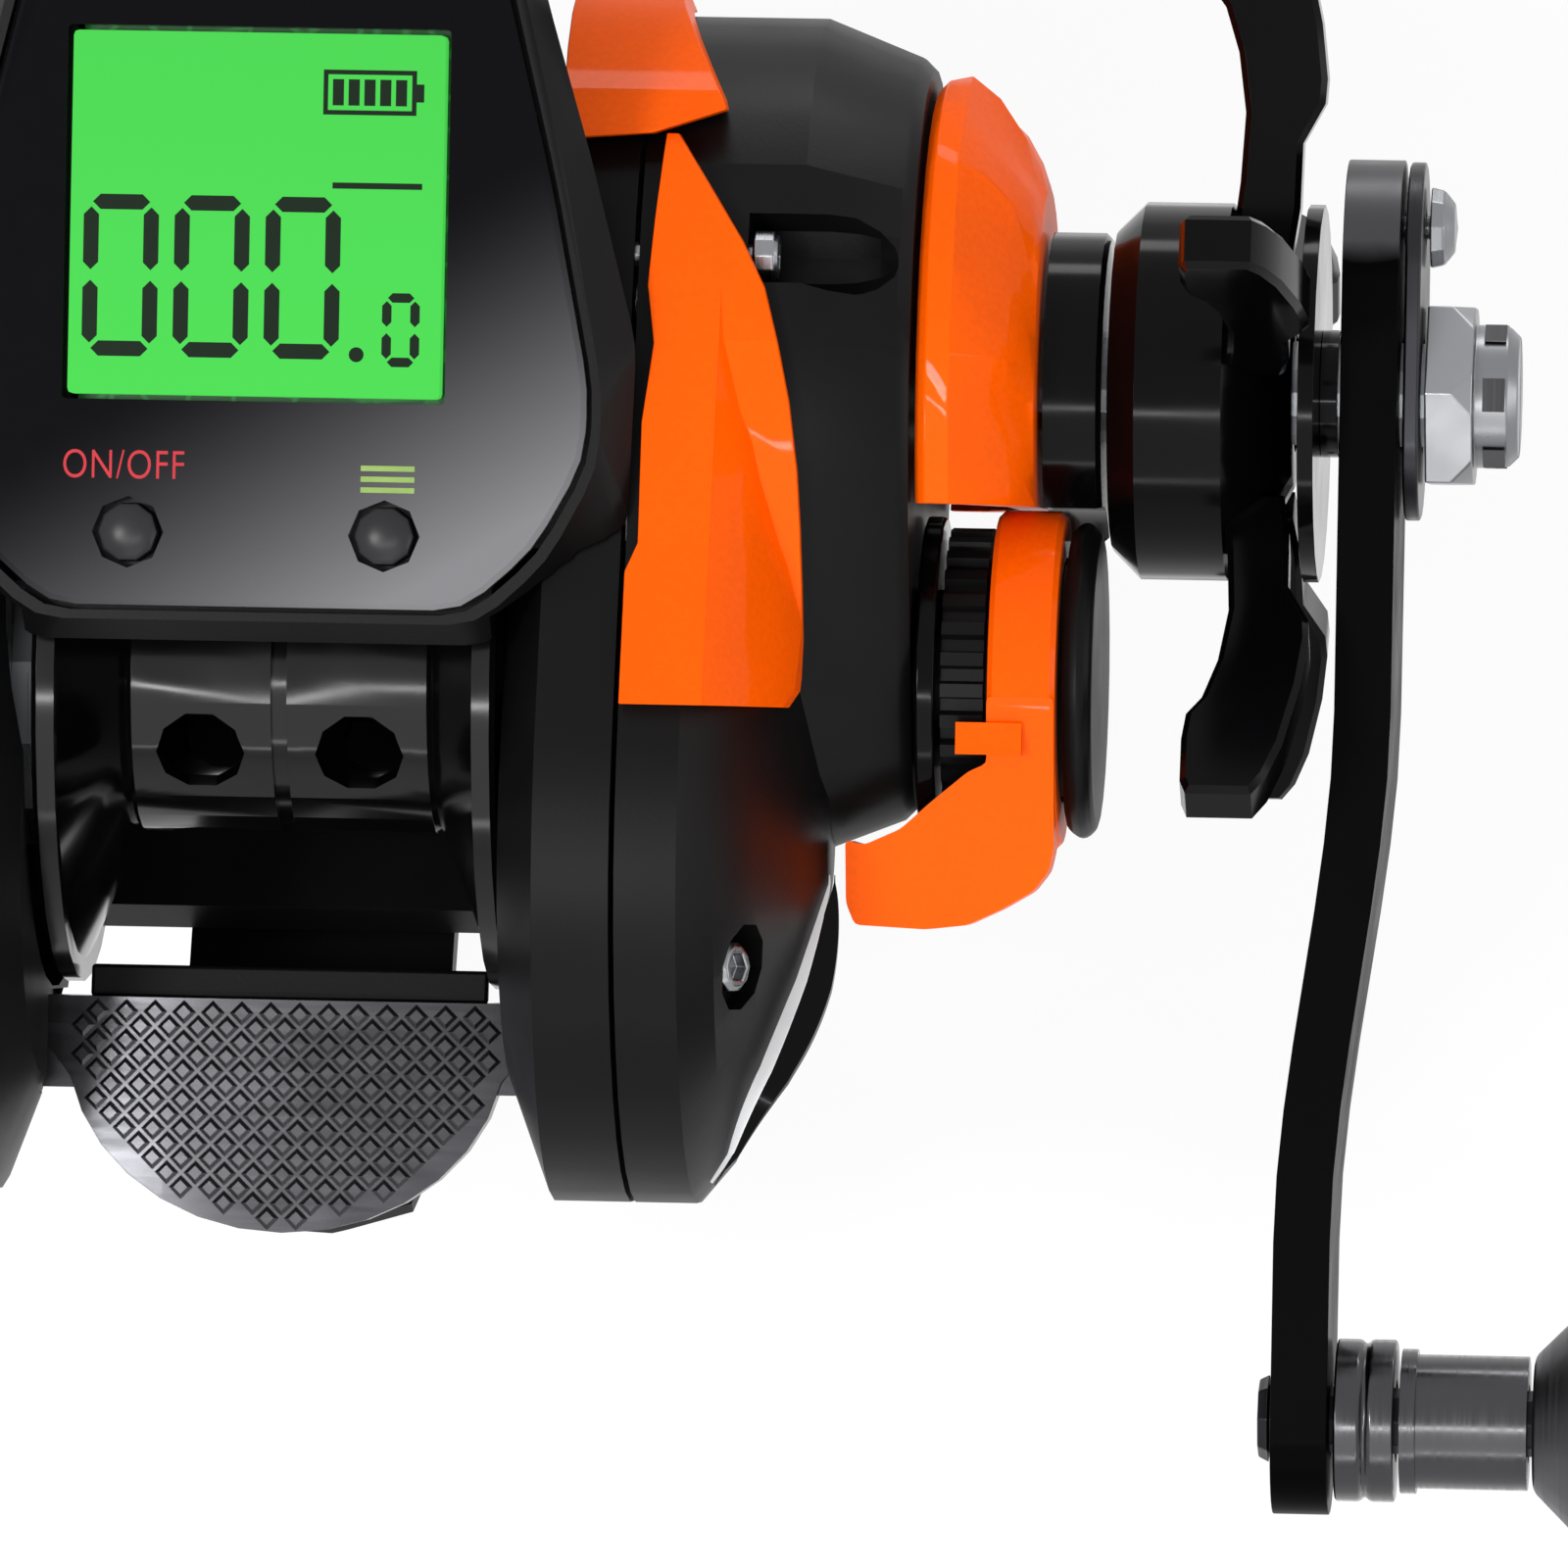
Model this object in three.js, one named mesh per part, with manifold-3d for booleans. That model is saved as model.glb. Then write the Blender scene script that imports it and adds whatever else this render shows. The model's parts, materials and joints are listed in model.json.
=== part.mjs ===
// Low-profile baitcasting reel with an electronic line counter, turned by hand, in millimetres.
// +X is the handle side, +Y points to the rod tip and +Z is up.
// The origin is the middle of the foot's flat pad.
import * as THREE from "three";
import { mergeVertices } from "three/addons/utils/BufferGeometryUtils.js";
import Module from "manifold-3d";

const wasm = await Module();
wasm.setup();

// Clearances
const seatGap = 0.3;
const runGap = 0.35;
const overrun = 2;
const mergeStep = 0.0001;
const edgeBreak = 0.3;

// Roundness of curved faces
const beltSteps = 36;
const turnSteps = 24;
const spoolSteps = 28;
const hiddenSteps = 14;
const grooveSteps = 10;
const smallSteps = 8;
const cornerSteps = 2;
const barArcSteps = 16;
const crownSteps = 200;

// Where the axes lie: the spool over the foot, the deck's slope in degrees
const spoolHeight = 25;
const spoolSetback = 7;
const deckTilt = 25;

// Gear train
const gearModule = 0.5;
const mainTeeth = 56;
const pinionTeeth = 12;
const guideDriveTeeth = 36;
const guideGearTeeth = 16;
const toothTipShare = 0.23;
const toothRootShare = 0.68;
const addendumShare = 0.8;
const dedendumShare = 1.3;
const driveRise = 3.4;
const wormDrop = 30;

// Spool
const flangeRadius = 18.1;
const flangeHalfWidth = 13;
const flangeRim = 1.3;
const flangeInnerShare = 0.72;
const flangeDepth = 4.65;
const drumRadius = 9.45;
const drumWall = 1.1;
const drumGrooveWidth = 0.9;
const drumGrooveDepth = 0.45;
const hubStartShare = 0.8;
const portRadius = 2.5;
const portOffset = 4.5;
const portCount = 6;
const portTurn = -2.7;
const spoolHubRadius = 3.2;
const spoolShaftRadius = 1.5;
const spoolShaftShort = 2.5;

// Side plates of the frame
const rearSetback = 10.4;
const rearRadius = 20.5;
const frontRadius = 20.8;
const webThickness = 3.1;
const rimDepth = 3.7;
const rimWall = 2.2;
const dishInset = 6.5;
const dishWidth = 2.5;

// Keel, stem and foot: outline shares run along the side plate and down to the keel's floor
const keelClearance = 0.3;
const keelFloorCorner = 5;
const cheekShare = 0.86;
const keelShares = [
  [-0.17, 1], [-0.17, 1.16], [0.13, 1.17], [0.51, 1.07], [0.8, 0.86], [0.965, 0.5],
  [0.92, 0.45], [0.76, 0.76], [0.48, 0.965], [0.2, 1],
];
const footHalfWidth = 7.6;
const footLength = 63;
const padLength = 22;
const footThickness = 2.3;
const footTipThickness = 1.1;
const footTipLift = 0.8;
const footTipShare = 0.8;
const footHollow = 0.7;
const rodRadius = 11;
const stemHalfWidth = 6.4;
const stemRear = 5;
const stemFront = 19;
const stemTaper = 1.4;
const stemTopShare = 1.03;

// Side covers
const bandWidth = 3.45;
const domeHeight = 7.6;
const palmDomeHeight = 6.2;
const domeInset = 20;
const domeEdgeShare = 0.28;
const domeStepShares = [0, 0.25, 0.5, 0.73, 0.93];
const coverWall = 1.8;
const bulgeDepth = 15.05;
const bulgeTaperDepth = 6;
const bulgeTaper = 2.1;
const bulgeEdge = 0.7;
const bulgeRearRadius = 10.2;
const bossWall = 1.5;
// Each pair: share of the dome's height and share of its inset, for the hollow under it
const gearHollowShares = [[0.35, 0.3], [0.7, 0.66]];
const palmHollowShares = [[0.35, 0.3], [0.6, 0.5]];

// Orange trim: outline shares run from the seam out, and from the rear of the panel to its front
const trimThickness = 1;
const trimWidth = 9.44;
const trimRear = 1.9;
const trimLength = 32;
const trimOutlineShares = [
  [0.01, 0.0], [0.92, 0.0], [0.97, 0.03], [0.99, 0.12], [0.99, 0.21], [0.985, 0.31], [0.97, 0.41], [0.92, 0.53],
  [0.845, 0.634], [0.757, 0.731], [0.62, 0.81], [0.437, 0.894], [0.2, 1.0], [0.13, 1.0], [0.09, 0.83], [0.07, 0.73],
  [0.12, 0.63], [0.07, 0.49], [0.08, 0.28], [0.01, 0.23],
];
const shoulderThickness = 1.6;
const shoulderInset = 1.3;
const shoulderWidth = 10.3;
const shoulderStart = 29.7;
const shoulderLength = 20;
const shoulderOutlineShares = [
  [0.12, 0.0], [0.61, 0.02], [1.0, 0.09], [0.98, 0.12], [0.7, 0.39], [0.42, 0.72], [0.3, 1.0], [0.02, 1.0],
];

// Counter deck: half widths, and places along the deck from the spool axis forward
const deckRise = 4.3;
const bezelOverlap = 0.65;
const bezelStep = 2.45;
const fasciaRear = 3.1;
const fasciaLength = 40.1;
const fasciaThickness = 1.6;
const fasciaCorner = 1.6;
const fasciaOutlineShares = [
  [0.63, 0], [0.84, 0.085], [0.99, 0.21], [1, 0.31], [0.877, 0.594], [0.741, 0.845], [0.66, 1],
];
const bezelRear = 1.2;
const bezelLength = 43.4;
const bezelDrop = 2.4;
const bezelCorner = 1.2;
const bezelRim = 0.8;
const bezelOutlineShares = [
  [0.615, 0], [0.8, 0.082], [0.985, 0.147], [1, 0.389], [0.866, 0.634], [0.746, 0.827], [0.665, 1],
];
const podDepth = 13;
const podDraft = 1.5;
const podWall = 1.2;
const podFrontY = 37.6;
const podUnderside = 13.4;
const podFrontLean = 1.4;
const podFrontShare = 0.7;
const podRearShare = 0.84;
const lcdWidth = 20.8;
const lcdLength = 20.2;
const lcdRear = 14.8;
const lcdShift = -0.3;
const lcdThickness = 1.5;
const lcdSink = 0.2;
const boardDrop = 3.6;
const boardThickness = 0.6;
const boardHalfWidth = 10.4;
const boardEnd = 38.5;
const batteryRadius = 9.8;
const batteryThickness = 3.1;
const batteryPlace = 29.5;
const hatchHalfWidth = 9.5;
const hatchHeight = 6.4;
const hatchThickness = 1.3;
const buttonRadius = 1.65;
const buttonFlange = 0.7;
const buttonRise = 0.55;
const buttonSpread = 7.15;
const buttonPlace = 7.15;
const buttonFlangeThickness = 0.35;
const buttonDomeShares = [[0.6, 0.75], [0.9, 0.4]];

// Thumb bar
const barEndDepth = 0.55;
const barTop = 18.9;
const barShoulder = 2.4;
const barLength = 13.2;
const barThickness = 1.9;
const barHeight = 2.2;
const barCrown = 0.9;
const barBlockLength = 5.2;
const barBlockDepth = 5.4;
const barTravel = 4;
const barTipShare = 0.9;

// Drag cup and collar: each pair holds a share of the cup's length and one of its radius
const cupLength = 6.3;
const cupRadius = 17.4;
const cupTrim = 9.7;
const cupFacets = 9;
const cupFacetSteps = 4;
const cupProfileShares = [
  [0, 0.965], [0.09, 1], [0.3, 1], [0.55, 0.9], [0.78, 0.79], [0.92, 0.71], [1, 0.655],
];
const cupWaveShares = [0, 0, 0.02, 0.05, 0.06, 0.04, 0];
const cupTwistShare = 0.5;
const cupHollowShare = 0.86;
const cupHollowDepthShare = 0.35;
const collarLength = 3.3;
const collarRadius = 8.9;

// Star drag
const hubLength = 6.5;
const hubRadius = 10.7;
const hubChamfer = 1.6;
const noseLength = 3.7;
const noseRadius = 5.4;
const noseStepShare = 0.55;
const noseStepRadiusShare = 0.8;
const starWidth = 3.1;
const starArms = 5;
const starFirstArm = 2;
const starReach = 28.3;
const starShoulderStep = 0.4;
const starEdge = 0.35;
// Each pair: place along X as a share of the arm's depth past the shoulder, and radius as a share of its reach
const starDepth = 4.9;
const starOutlineShares = [
  [-0.1, 0.28], [0.0, 0.42], [0.05, 0.56], [-0.04, 0.68], [-0.2, 0.77], [-0.37, 0.81], [-0.41, 0.87], [-0.4, 0.97],
  [-0.33, 1.0], [0.42, 1.0], [0.58, 0.96], [0.75, 0.88], [0.92, 0.74], [0.99, 0.63], [0.97, 0.58], [0.72, 0.5],
  [0.7, 0.37], [0.62, 0.28],
];

// Handle
const washerThickness = 0.9;
const washerRadius = 10.7;
const spacerLength = 1;
const spacerRadius = 3.6;
const armThickness = 3.2;
const crankLength = 58.1;
const armWidth = 13.8;
const armTopReach = 6.4;
const armEndRadius = 5.4;
const armOffset = 2.9;
const armBendStart = 18;
const armBendEnd = 48;
const armBendSteps = 8;
const retainerThickness = 0.9;
const retainerTop = 13.2;
const retainerBottom = 7.1;
const retainerHalfWidth = 6;
const retainerScrewPlace = 9.5;
const retainerScrewRadius = 2.4;
const retainerScrewHeight = 1.5;
const retainerHeadShares = [[0.5, 0.92], [0.9, 0.6]];
const nutFlats = 10;
const nutThickness = 2.7;
const nutConeShare = 0.58;
const nutConeEndShare = 0.52;
const nutThreadShare = 0.8;
const nutCapRadius = 4.05;
const nutCapLength = 2.5;
const nutSlotWidth = 1.1;

// Knob
const knobBushRadius = 4.6;
const knobBushLength = 3.4;
const knobGrooveRadius = 4.1;
const knobGrooveLength = 0.9;
const knobNeckRadius = 3.8;
const knobNeckLength = 7.2;
const knobRadius = 15.5;
const knobLength = 24;
const knobCapRadius = 8;
const knobCapEdgeShare = 0.8;
const knobPostRadius = 1.9;
const knobPostShare = 0.5;
const knobProfileShares = [
  [0.0, 0.245], [0.1, 0.4], [0.26, 0.66], [0.4, 0.86], [0.55, 0.98], [0.7, 1.0], [0.86, 0.93], [0.96, 0.74],
];

// Cast control and clicker lever, round the spool axis
const castBaseRadius = 9.15;
const castBaseLength = 1.1;
const castKnobLength = 2.4;
const castKnobRadius = 8.5;
const castRibs = 30;
const castRibDepth = 0.5;
const castHubRadius = 6.6;
const castBossRadius = 5;
const castBossLength = 3.2;
const leverWidth = 3.8;
const leverRadius = 9.55;
const leverTailThickness = 3;
const leverTailReach = 8;
const leverTailStart = 4.8;
const leverTailDrop = 9.4;
const leverArcStart = 90;
const leverArcEnd = 112;
const leverArcSteps = 4;
const leverTabLength = 1.7;
const leverTabHeight = 1.8;
const leverTabPlace = 3.4;
const leverTailShares = [
  [1.0, 0.47], [1.0, 0.85], [0.94, 0.98], [0.44, 1.0], [0.15, 0.97], [-0.1, 0.87], [-0.32, 0.76], [-0.43, 0.64],
  [-0.47, 0.5], [-0.47, -0.4], [0.0, -0.4], [0.0, 0.0], [0.13, 0.05], [0.4, 0.24], [0.61, 0.4], [0.87, 0.5],
];
const capThickness = 1.7;
const capRadius = 8.95;
const ribTipShare = 0.42;
const ribRootShare = 0.6;

// Drive train inside the covers
const driveShaftRadius = 3;
const driveStubRadius = 2;
const driveFlangeRadius = 5;
const driveFlangeLength = 3.1;
const guideDriveWidth = 1.7;
const mainGearWidth = 2.2;
const dragWasherRadius = 12.4;
const dragWasherThickness = 1;
const pressureRadius = 11.8;
const pressureThickness = 1.2;
const clutchRadius = 7.2;
const clutchLength = 5;
const clutchBore = 4;
const pinionSetback = 0.85;
const pinionLength = 11;
const pinionCollar = 0.7;
const pinionGrooveWidth = 1.5;
const pinionGrooveRadius = 2.65;
const pinionBore = 1.85;
const yokeHalfLength = 8;
const yokeHalfWidth = 3.2;
const yokeFoot = 2.4;
const yokeForkShare = 1.5;
const bearingRadius = 5;
const bearingWidth = 3;
const bearingRingShare = 0.3;
const driveBearingRadius = 4;

// Level wind
const wormRadius = 2.3;
const wormEndRadius = 1.5;
const wormGroove = 0.7;
const wormPitch = 4.5;
const bushRadius = 3;
const guideHalfWidth = 3.2;
const guideTop = 8.6;
const guideEyeHeight = 4.2;
const guideEyeRadius = 2.9;
const guideDepth = 4.4;
const insertWall = 0.6;
const railRadius = 1;
const railForward = 4.6;
const railDrop = 2.6;
const railFloor = 0.7;
const pawlRadius = 1.7;
const pawlLength = 3.2;

// Palm side brake
const dialRadius = 8;
const dialThickness = 2.4;
const dialGrip = 2.2;
const dialGripLength = 13.6;
const dialGripRise = 1.1;
const dialRibs = 18;
const dialRibDepth = 0.4;
const dialFloor = 3.2;
const dialHubShare = 0.2;
const dialRecessShare = 0.8;
const magnetInner = 8.6;
const magnetOuter = 10.6;
const magnetLength = 3.6;
const magnetPlate = 0.9;
const rotorRadius = 8;
const rotorWall = 0.8;
const rotorLength = 2.6;

// Cover screws: depth from the seam, place along the deck, height over the axis and lean in degrees
const topScrewDepth = 6.35;
const topScrewAlong = 23.3;
const topScrewHeight = 14.2;
const topScrewGroove = 4.2;
const topScrewNose = 4.2;
const rearScrewDepth = 5.25;
const rearScrewAlong = -16.4;
const rearScrewHeight = 16.9;
const rearScrewGroove = 4;
const rearScrewNose = 2;
const rearScrewLean = 30;
const screwHeadRadius = 1.45;
const screwHeadHeight = 1.4;
const screwShankRadius = 0.7;
const screwLength = 9;
const screwGrooveRadius = 2.5;
const screwSocketShare = 0.5;
const screwNoseShares = [[0.35, 0.93], [0.65, 0.74], [0.87, 0.42]];

// Values worked out from the sizes above
const radians = Math.PI / 180;
const tilt = deckTilt * radians;
const driveReach = (gearModule * (mainTeeth + pinionTeeth)) / 2;
const driveY = Math.sqrt(driveReach ** 2 - driveRise ** 2);
const driveAngle = Math.atan2(driveRise, driveY);
const driveW = driveRise * Math.cos(tilt) - driveY * Math.sin(tilt);
const wormReach = (gearModule * (guideDriveTeeth + guideGearTeeth)) / 2;
const wormY = driveY + wormReach * Math.cos(wormDrop * radians);
const wormZ = driveRise - wormReach * Math.sin(wormDrop * radians);
const pinionRoot = (gearModule * pinionTeeth) / 2 - gearModule * dedendumShare;
const spoolRoom = flangeRadius + 2 * seatGap;
const footTop = footThickness - spoolHeight;
const keelFloor = -spoolRoom - keelClearance;
const drumHalfWidth = flangeHalfWidth - flangeDepth;

// Places along X, from the spool out through the covers
const wallX = flangeHalfWidth + runGap;
const webX = wallX + webThickness;
const seamX = webX + rimDepth;
const coverX = seamX + seatGap;
const bandX = coverX + bandWidth;
const bulgeX = coverX + bulgeDepth;
const bulgeTaperX = bulgeX - bulgeTaperDepth;
const guideDriveStart = webX + runGap;
const guideDriveEnd = guideDriveStart + guideDriveWidth;
const driveFlangeStart = guideDriveEnd + seatGap;
const mainGearStart = driveFlangeStart + driveFlangeLength + seatGap;
const pinionStart = webX + pinionSetback;
const pinionGrooveStart = pinionStart + pinionCollar;
const spoolShaftEnd = bulgeX - spoolShaftShort;
const magnetStart = flangeHalfWidth + 2 * seatGap;
const magnetEnd = magnetStart + magnetLength;
const palmDialFloor = bandX + palmDomeHeight - dialFloor;

// Places along X, from the bulge out through the handle
const cupStart = bulgeX + seatGap;
const cupEnd = cupStart + cupLength;
const collarEnd = cupEnd + seatGap + collarLength;
const hubStart = collarEnd + runGap;
const hubEnd = hubStart + hubLength;
const noseX = hubEnd + noseLength;
const washerStart = noseX + 2 * seatGap;
const armStart = washerStart + washerThickness + spacerLength + seatGap;
const armEndX = armStart + armThickness;
const retainerEndX = armEndX + seatGap + retainerThickness;
const knobStart = armEndX - armOffset + seatGap;
const knobNeckEnd = knobStart + knobBushLength + seatGap + knobNeckLength;
const castKnobStart = cupStart + castBaseLength + seatGap;
const leverStart = castKnobStart + castKnobLength + seatGap;

// Heights and half widths of the counter deck
const deckHeight = spoolRoom + deckRise;
const boardHeight = deckHeight - boardDrop;
const bezelHalfWidth = seamX + bezelOverlap;
const fasciaHalfWidth = bezelHalfWidth - bezelStep;
const hatchPlace = bezelRear + bezelLength;
const barHalfWidth = wallX + barEndDepth;

// Solids

function signedVolume(position, index) {
  const corners = [new THREE.Vector3(), new THREE.Vector3(), new THREE.Vector3()];
  let sum = 0;
  for (let i = 0; i < index.length; i += 3) {
    corners.forEach((corner, k) => corner.fromBufferAttribute(position, index[i + k]));
    sum += corners[0].dot(corners[1].cross(corners[2]));
  }
  return sum;
}

// A closed geometry as a solid with its faces out, whichever way they were wound
function solid(geometry) {
  const loose = geometry.index ? geometry.toNonIndexed() : geometry.clone();
  const bare = new THREE.BufferGeometry().setAttribute("position", loose.getAttribute("position"));
  const merged = mergeVertices(bare, mergeStep);
  const position = merged.getAttribute("position");
  const triangles = [];
  for (let i = 0; i < merged.index.count; i += 3) {
    const [a, b, c] = [0, 1, 2].map((k) => merged.index.getX(i + k));
    if (a !== b && b !== c && c !== a) triangles.push(a, b, c);
  }
  if (signedVolume(position, triangles) < 0) triangles.reverse();
  const mesh = { numProp: 3, vertProperties: position.array, triVerts: Uint32Array.from(triangles) };
  return new wasm.Manifold(new wasm.Mesh(mesh));
}

function geometryOf(shape) {
  const { numProp, vertProperties, triVerts } = shape.getMesh();
  const points = new Float32Array((vertProperties.length / numProp) * 3);
  for (let i = 0; i < points.length / 3; i += 1) {
    points.set(vertProperties.subarray(i * numProp, i * numProp + 3), i * 3);
  }
  const geometry = new THREE.BufferGeometry();
  geometry.setAttribute("position", new THREE.BufferAttribute(points, 3));
  geometry.setIndex(new THREE.BufferAttribute(triVerts, 1));
  return geometry;
}

function join(...parts) {
  return geometryOf(parts.map(solid).reduce((whole, part) => whole.add(part)));
}

function cut(base, ...tools) {
  return geometryOf(tools.map(solid).reduce((whole, tool) => whole.subtract(tool), solid(base)));
}

function common(...parts) {
  return geometryOf(parts.map(solid).reduce((whole, part) => whole.intersect(part)));
}

function mirrored(geometry) {
  return geometry.clone().scale(-1, 1, 1);
}

// Outlines

function point(x, y) {
  return new THREE.Vector2(x, y);
}

// The band stretched round several circles, each with its centre and radius
function belt(circles, count = beltSteps) {
  return Array.from({ length: count }, (_, k) => {
    const angle = (2 * Math.PI * k) / count;
    const way = point(Math.cos(angle), Math.sin(angle));
    const reach = (c) => c.y * way.x + c.z * way.y + c.radius;
    const far = circles.reduce((best, c) => (reach(c) > reach(best) ? c : best));
    return point(far.y + far.radius * way.x, far.z + far.radius * way.y);
  });
}

function circleOutline(y, z, radius, count = turnSteps) {
  return belt([{ y, z, radius }], count);
}

function rectangle(x0, x1, y0, y1) {
  return [point(x0, y0), point(x1, y0), point(x1, y1), point(x0, y1)];
}

// Corners of a polygon softened by short arcs that keep the same number of points
function softened(points, radius) {
  return points.flatMap((corner, i) => {
    const before = points[(i + points.length - 1) % points.length];
    const after = points[(i + 1) % points.length];
    const reach = (other) => Math.min(radius, corner.distanceTo(other) / 2);
    const start = corner.clone().lerp(before, reach(before) / corner.distanceTo(before));
    const end = corner.clone().lerp(after, reach(after) / corner.distanceTo(after));
    return new THREE.QuadraticBezierCurve(start, corner, end).getPoints(cornerSteps);
  });
}

// A symmetric outline from shares of its half width and its length, moved in by an inset
function sharedOutline(shares, halfWidth, rear, length, inset = 0) {
  const right = shares.map(([across, along]) => {
    const x = across * halfWidth - inset;
    const y = rear + inset + along * (length - 2 * inset);
    return point(x, y);
  });
  const left = right.map((p) => point(-p.x, p.y)).reverse();
  return [...right, ...left];
}

function toothedOutline(count, tipRadius, rootRadius, tipShare, rootShare, phase = 0) {
  return Array.from({ length: count }, (_, k) => {
    const middle = ((k + phase) * 2 * Math.PI) / count;
    const half = Math.PI / count;
    const rise = [[-rootShare, rootRadius], [-tipShare, tipRadius]];
    const places = [...rise, [tipShare, tipRadius], [rootShare, rootRadius]];
    return places.map(([share, radius]) => {
      const angle = middle + share * half;
      return point(radius * Math.cos(angle), radius * Math.sin(angle));
    });
  }).flat();
}

function gearOutline(teeth, phase = 0) {
  const pitchRadius = (gearModule * teeth) / 2;
  const tip = pitchRadius + gearModule * addendumShare;
  const root = pitchRadius - gearModule * dedendumShare;
  return toothedOutline(teeth, tip, root, toothTipShare, toothRootShare, phase);
}

// Forms

const ontoX = new THREE.Matrix4().makeBasis(
  new THREE.Vector3(0, 1, 0), new THREE.Vector3(0, 0, 1), new THREE.Vector3(1, 0, 0),
);

function extruded(outline, depth, holes = [], bevel = 0) {
  const shape = new THREE.Shape(outline);
  holes.forEach((hole) => shape.holes.push(new THREE.Path(hole)));
  return new THREE.ExtrudeGeometry(shape, {
    depth: depth - 2 * bevel,
    bevelEnabled: bevel > 0,
    bevelThickness: bevel,
    bevelSize: bevel,
    bevelOffset: -bevel,
    bevelSegments: 1,
  }).translate(0, 0, bevel);
}

// An outline drawn in Y and Z, pushed along X
function prismX(outline, x0, x1, holes = [], bevel = 0) {
  return extruded(outline, x1 - x0, holes, bevel).applyMatrix4(ontoX).translate(x0, 0, 0);
}

// An outline drawn in X and Y, pushed up
function prismZ(outline, z0, z1, holes = [], bevel = 0) {
  return extruded(outline, z1 - z0, holes, bevel).translate(0, 0, z0);
}

// A profile of places along X and radii, turned about X
function turned(profile, steps = turnSteps) {
  const points = profile.map(([x, radius]) => point(radius, x));
  return new THREE.LatheGeometry(points, steps).rotateZ(-Math.PI / 2);
}

function rod(x0, x1, radius, steps = turnSteps) {
  return turned([[x0, 0], [x0, radius], [x1, radius], [x1, 0]], steps);
}

function ring(x0, x1, inner, outer, steps = turnSteps) {
  return turned([[x0, inner], [x0, outer], [x1, outer], [x1, inner], [x0, inner]], steps);
}

// Outlines of equal count, joined one after another and closed at both ends
function loft(sections, at) {
  const count = sections[0].outline.length;
  const points = sections.flatMap((section) => section.outline.map((p) => at(p, section.place)));
  const index = [];
  sections.slice(1).forEach((_, s) => {
    for (let i = 0; i < count; i += 1) {
      const [a, b] = [s * count + i, s * count + ((i + 1) % count)];
      index.push(a, b, b + count, a, b + count, a + count);
    }
  });
  const last = (sections.length - 1) * count;
  THREE.ShapeUtils.triangulateShape(sections[0].outline, []).forEach(([a, b, c]) => index.push(c, b, a));
  THREE.ShapeUtils.triangulateShape(sections.at(-1).outline, [])
    .forEach(([a, b, c]) => index.push(last + a, last + b, last + c));
  return new THREE.BufferGeometry().setFromPoints(points).setIndex(index);
}

function loftX(sections) {
  return loft(sections, (p, place) => new THREE.Vector3(place, p.x, p.y));
}

function loftZ(sections) {
  return loft(sections, (p, place) => new THREE.Vector3(p.x, p.y, place));
}

// From the deck's own axes to those of the spool
function onDeck(geometry) {
  return geometry.rotateX(tilt);
}

function atDrive(geometry) {
  return geometry.translate(0, driveY, driveRise);
}

function atWorm(geometry) {
  return geometry.translate(0, wormY, wormZ);
}

function atRail(geometry) {
  return geometry.translate(0, wormY + railForward, wormZ - railDrop);
}

// Shared shapes

function plateOutline(inset = 0) {
  return belt([
    { y: -rearSetback, z: 0, radius: rearRadius - inset },
    { y: driveY, z: driveRise, radius: frontRadius - inset },
  ]);
}

function domeOf(height, grow) {
  const sections = domeStepShares.map((share) => {
    const inset = domeInset * share * (domeEdgeShare + (1 - domeEdgeShare) * share);
    return { place: bandX + grow + height * share, outline: plateOutline(inset - grow) };
  });
  return loftX([{ place: coverX, outline: plateOutline(-grow) }, ...sections]);
}

function bulgeOutline(taper, grow) {
  return belt([
    { y: 0, z: 0, radius: bulgeRearRadius - taper + grow },
    { y: driveY, z: driveRise, radius: frontRadius - taper + grow },
  ]);
}

function bulgeOf(grow) {
  return loftX([
    { place: coverX, outline: bulgeOutline(0, grow) },
    { place: bulgeTaperX, outline: bulgeOutline(0, grow) },
    { place: bulgeX - bulgeEdge + grow, outline: bulgeOutline(bulgeTaper, grow) },
    { place: bulgeX + grow, outline: bulgeOutline(bulgeTaper + bulgeEdge, grow) },
  ]);
}

// Everything that the plates and covers fill on the handle side, grown by a clearance
function sideMass(grow) {
  const start = wallX - grow;
  return join(
    loftX([{ place: start, outline: plateOutline(-grow) }, { place: bandX, outline: plateOutline(-grow) }]),
    domeOf(domeHeight, grow),
  );
}

const coverScrews = [
  {
    name: "cover_screw_top", depth: topScrewDepth, along: topScrewAlong, height: topScrewHeight,
    groove: topScrewGroove, nose: topScrewNose, lean: 0,
  },
  {
    name: "cover_screw_rear", depth: rearScrewDepth, along: rearScrewAlong, height: rearScrewHeight,
    groove: rearScrewGroove, nose: rearScrewNose, lean: rearScrewLean * radians,
  },
];

// From a screw's own axis, with its head seat at the origin, to its place in the cover
function screwPlaced(geometry, spot) {
  return onDeck(geometry.rotateY(-spot.lean).translate(coverX + spot.depth, spot.along, spot.height));
}

function screwRoom(spot) {
  const nose = screwNoseShares.map(([out, across]) => (
    [spot.groove + spot.nose * out, screwGrooveRadius * across]
  ));
  const groove = turned([
    [-seatGap, 0], [-seatGap, screwGrooveRadius], [spot.groove, screwGrooveRadius], ...nose,
    [spot.groove + spot.nose, 0],
  ], grooveSteps);
  const shank = rod(-screwLength - seatGap, 0, screwShankRadius + seatGap, smallSteps);
  return screwPlaced(join(groove, shank), spot);
}

// Frame

function keelOutline() {
  const front = driveY + frontRadius;
  return keelShares.map(([along, down]) => point(along * front, down * keelFloor));
}

// The keel's floor line raised into the side plate, so that keel and plate are one casting
function cheekOutline() {
  return keelOutline().map((p, k) => (k === 0 || k > keelFloorCorner ? p.multiplyScalar(cheekShare) : p));
}

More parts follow.
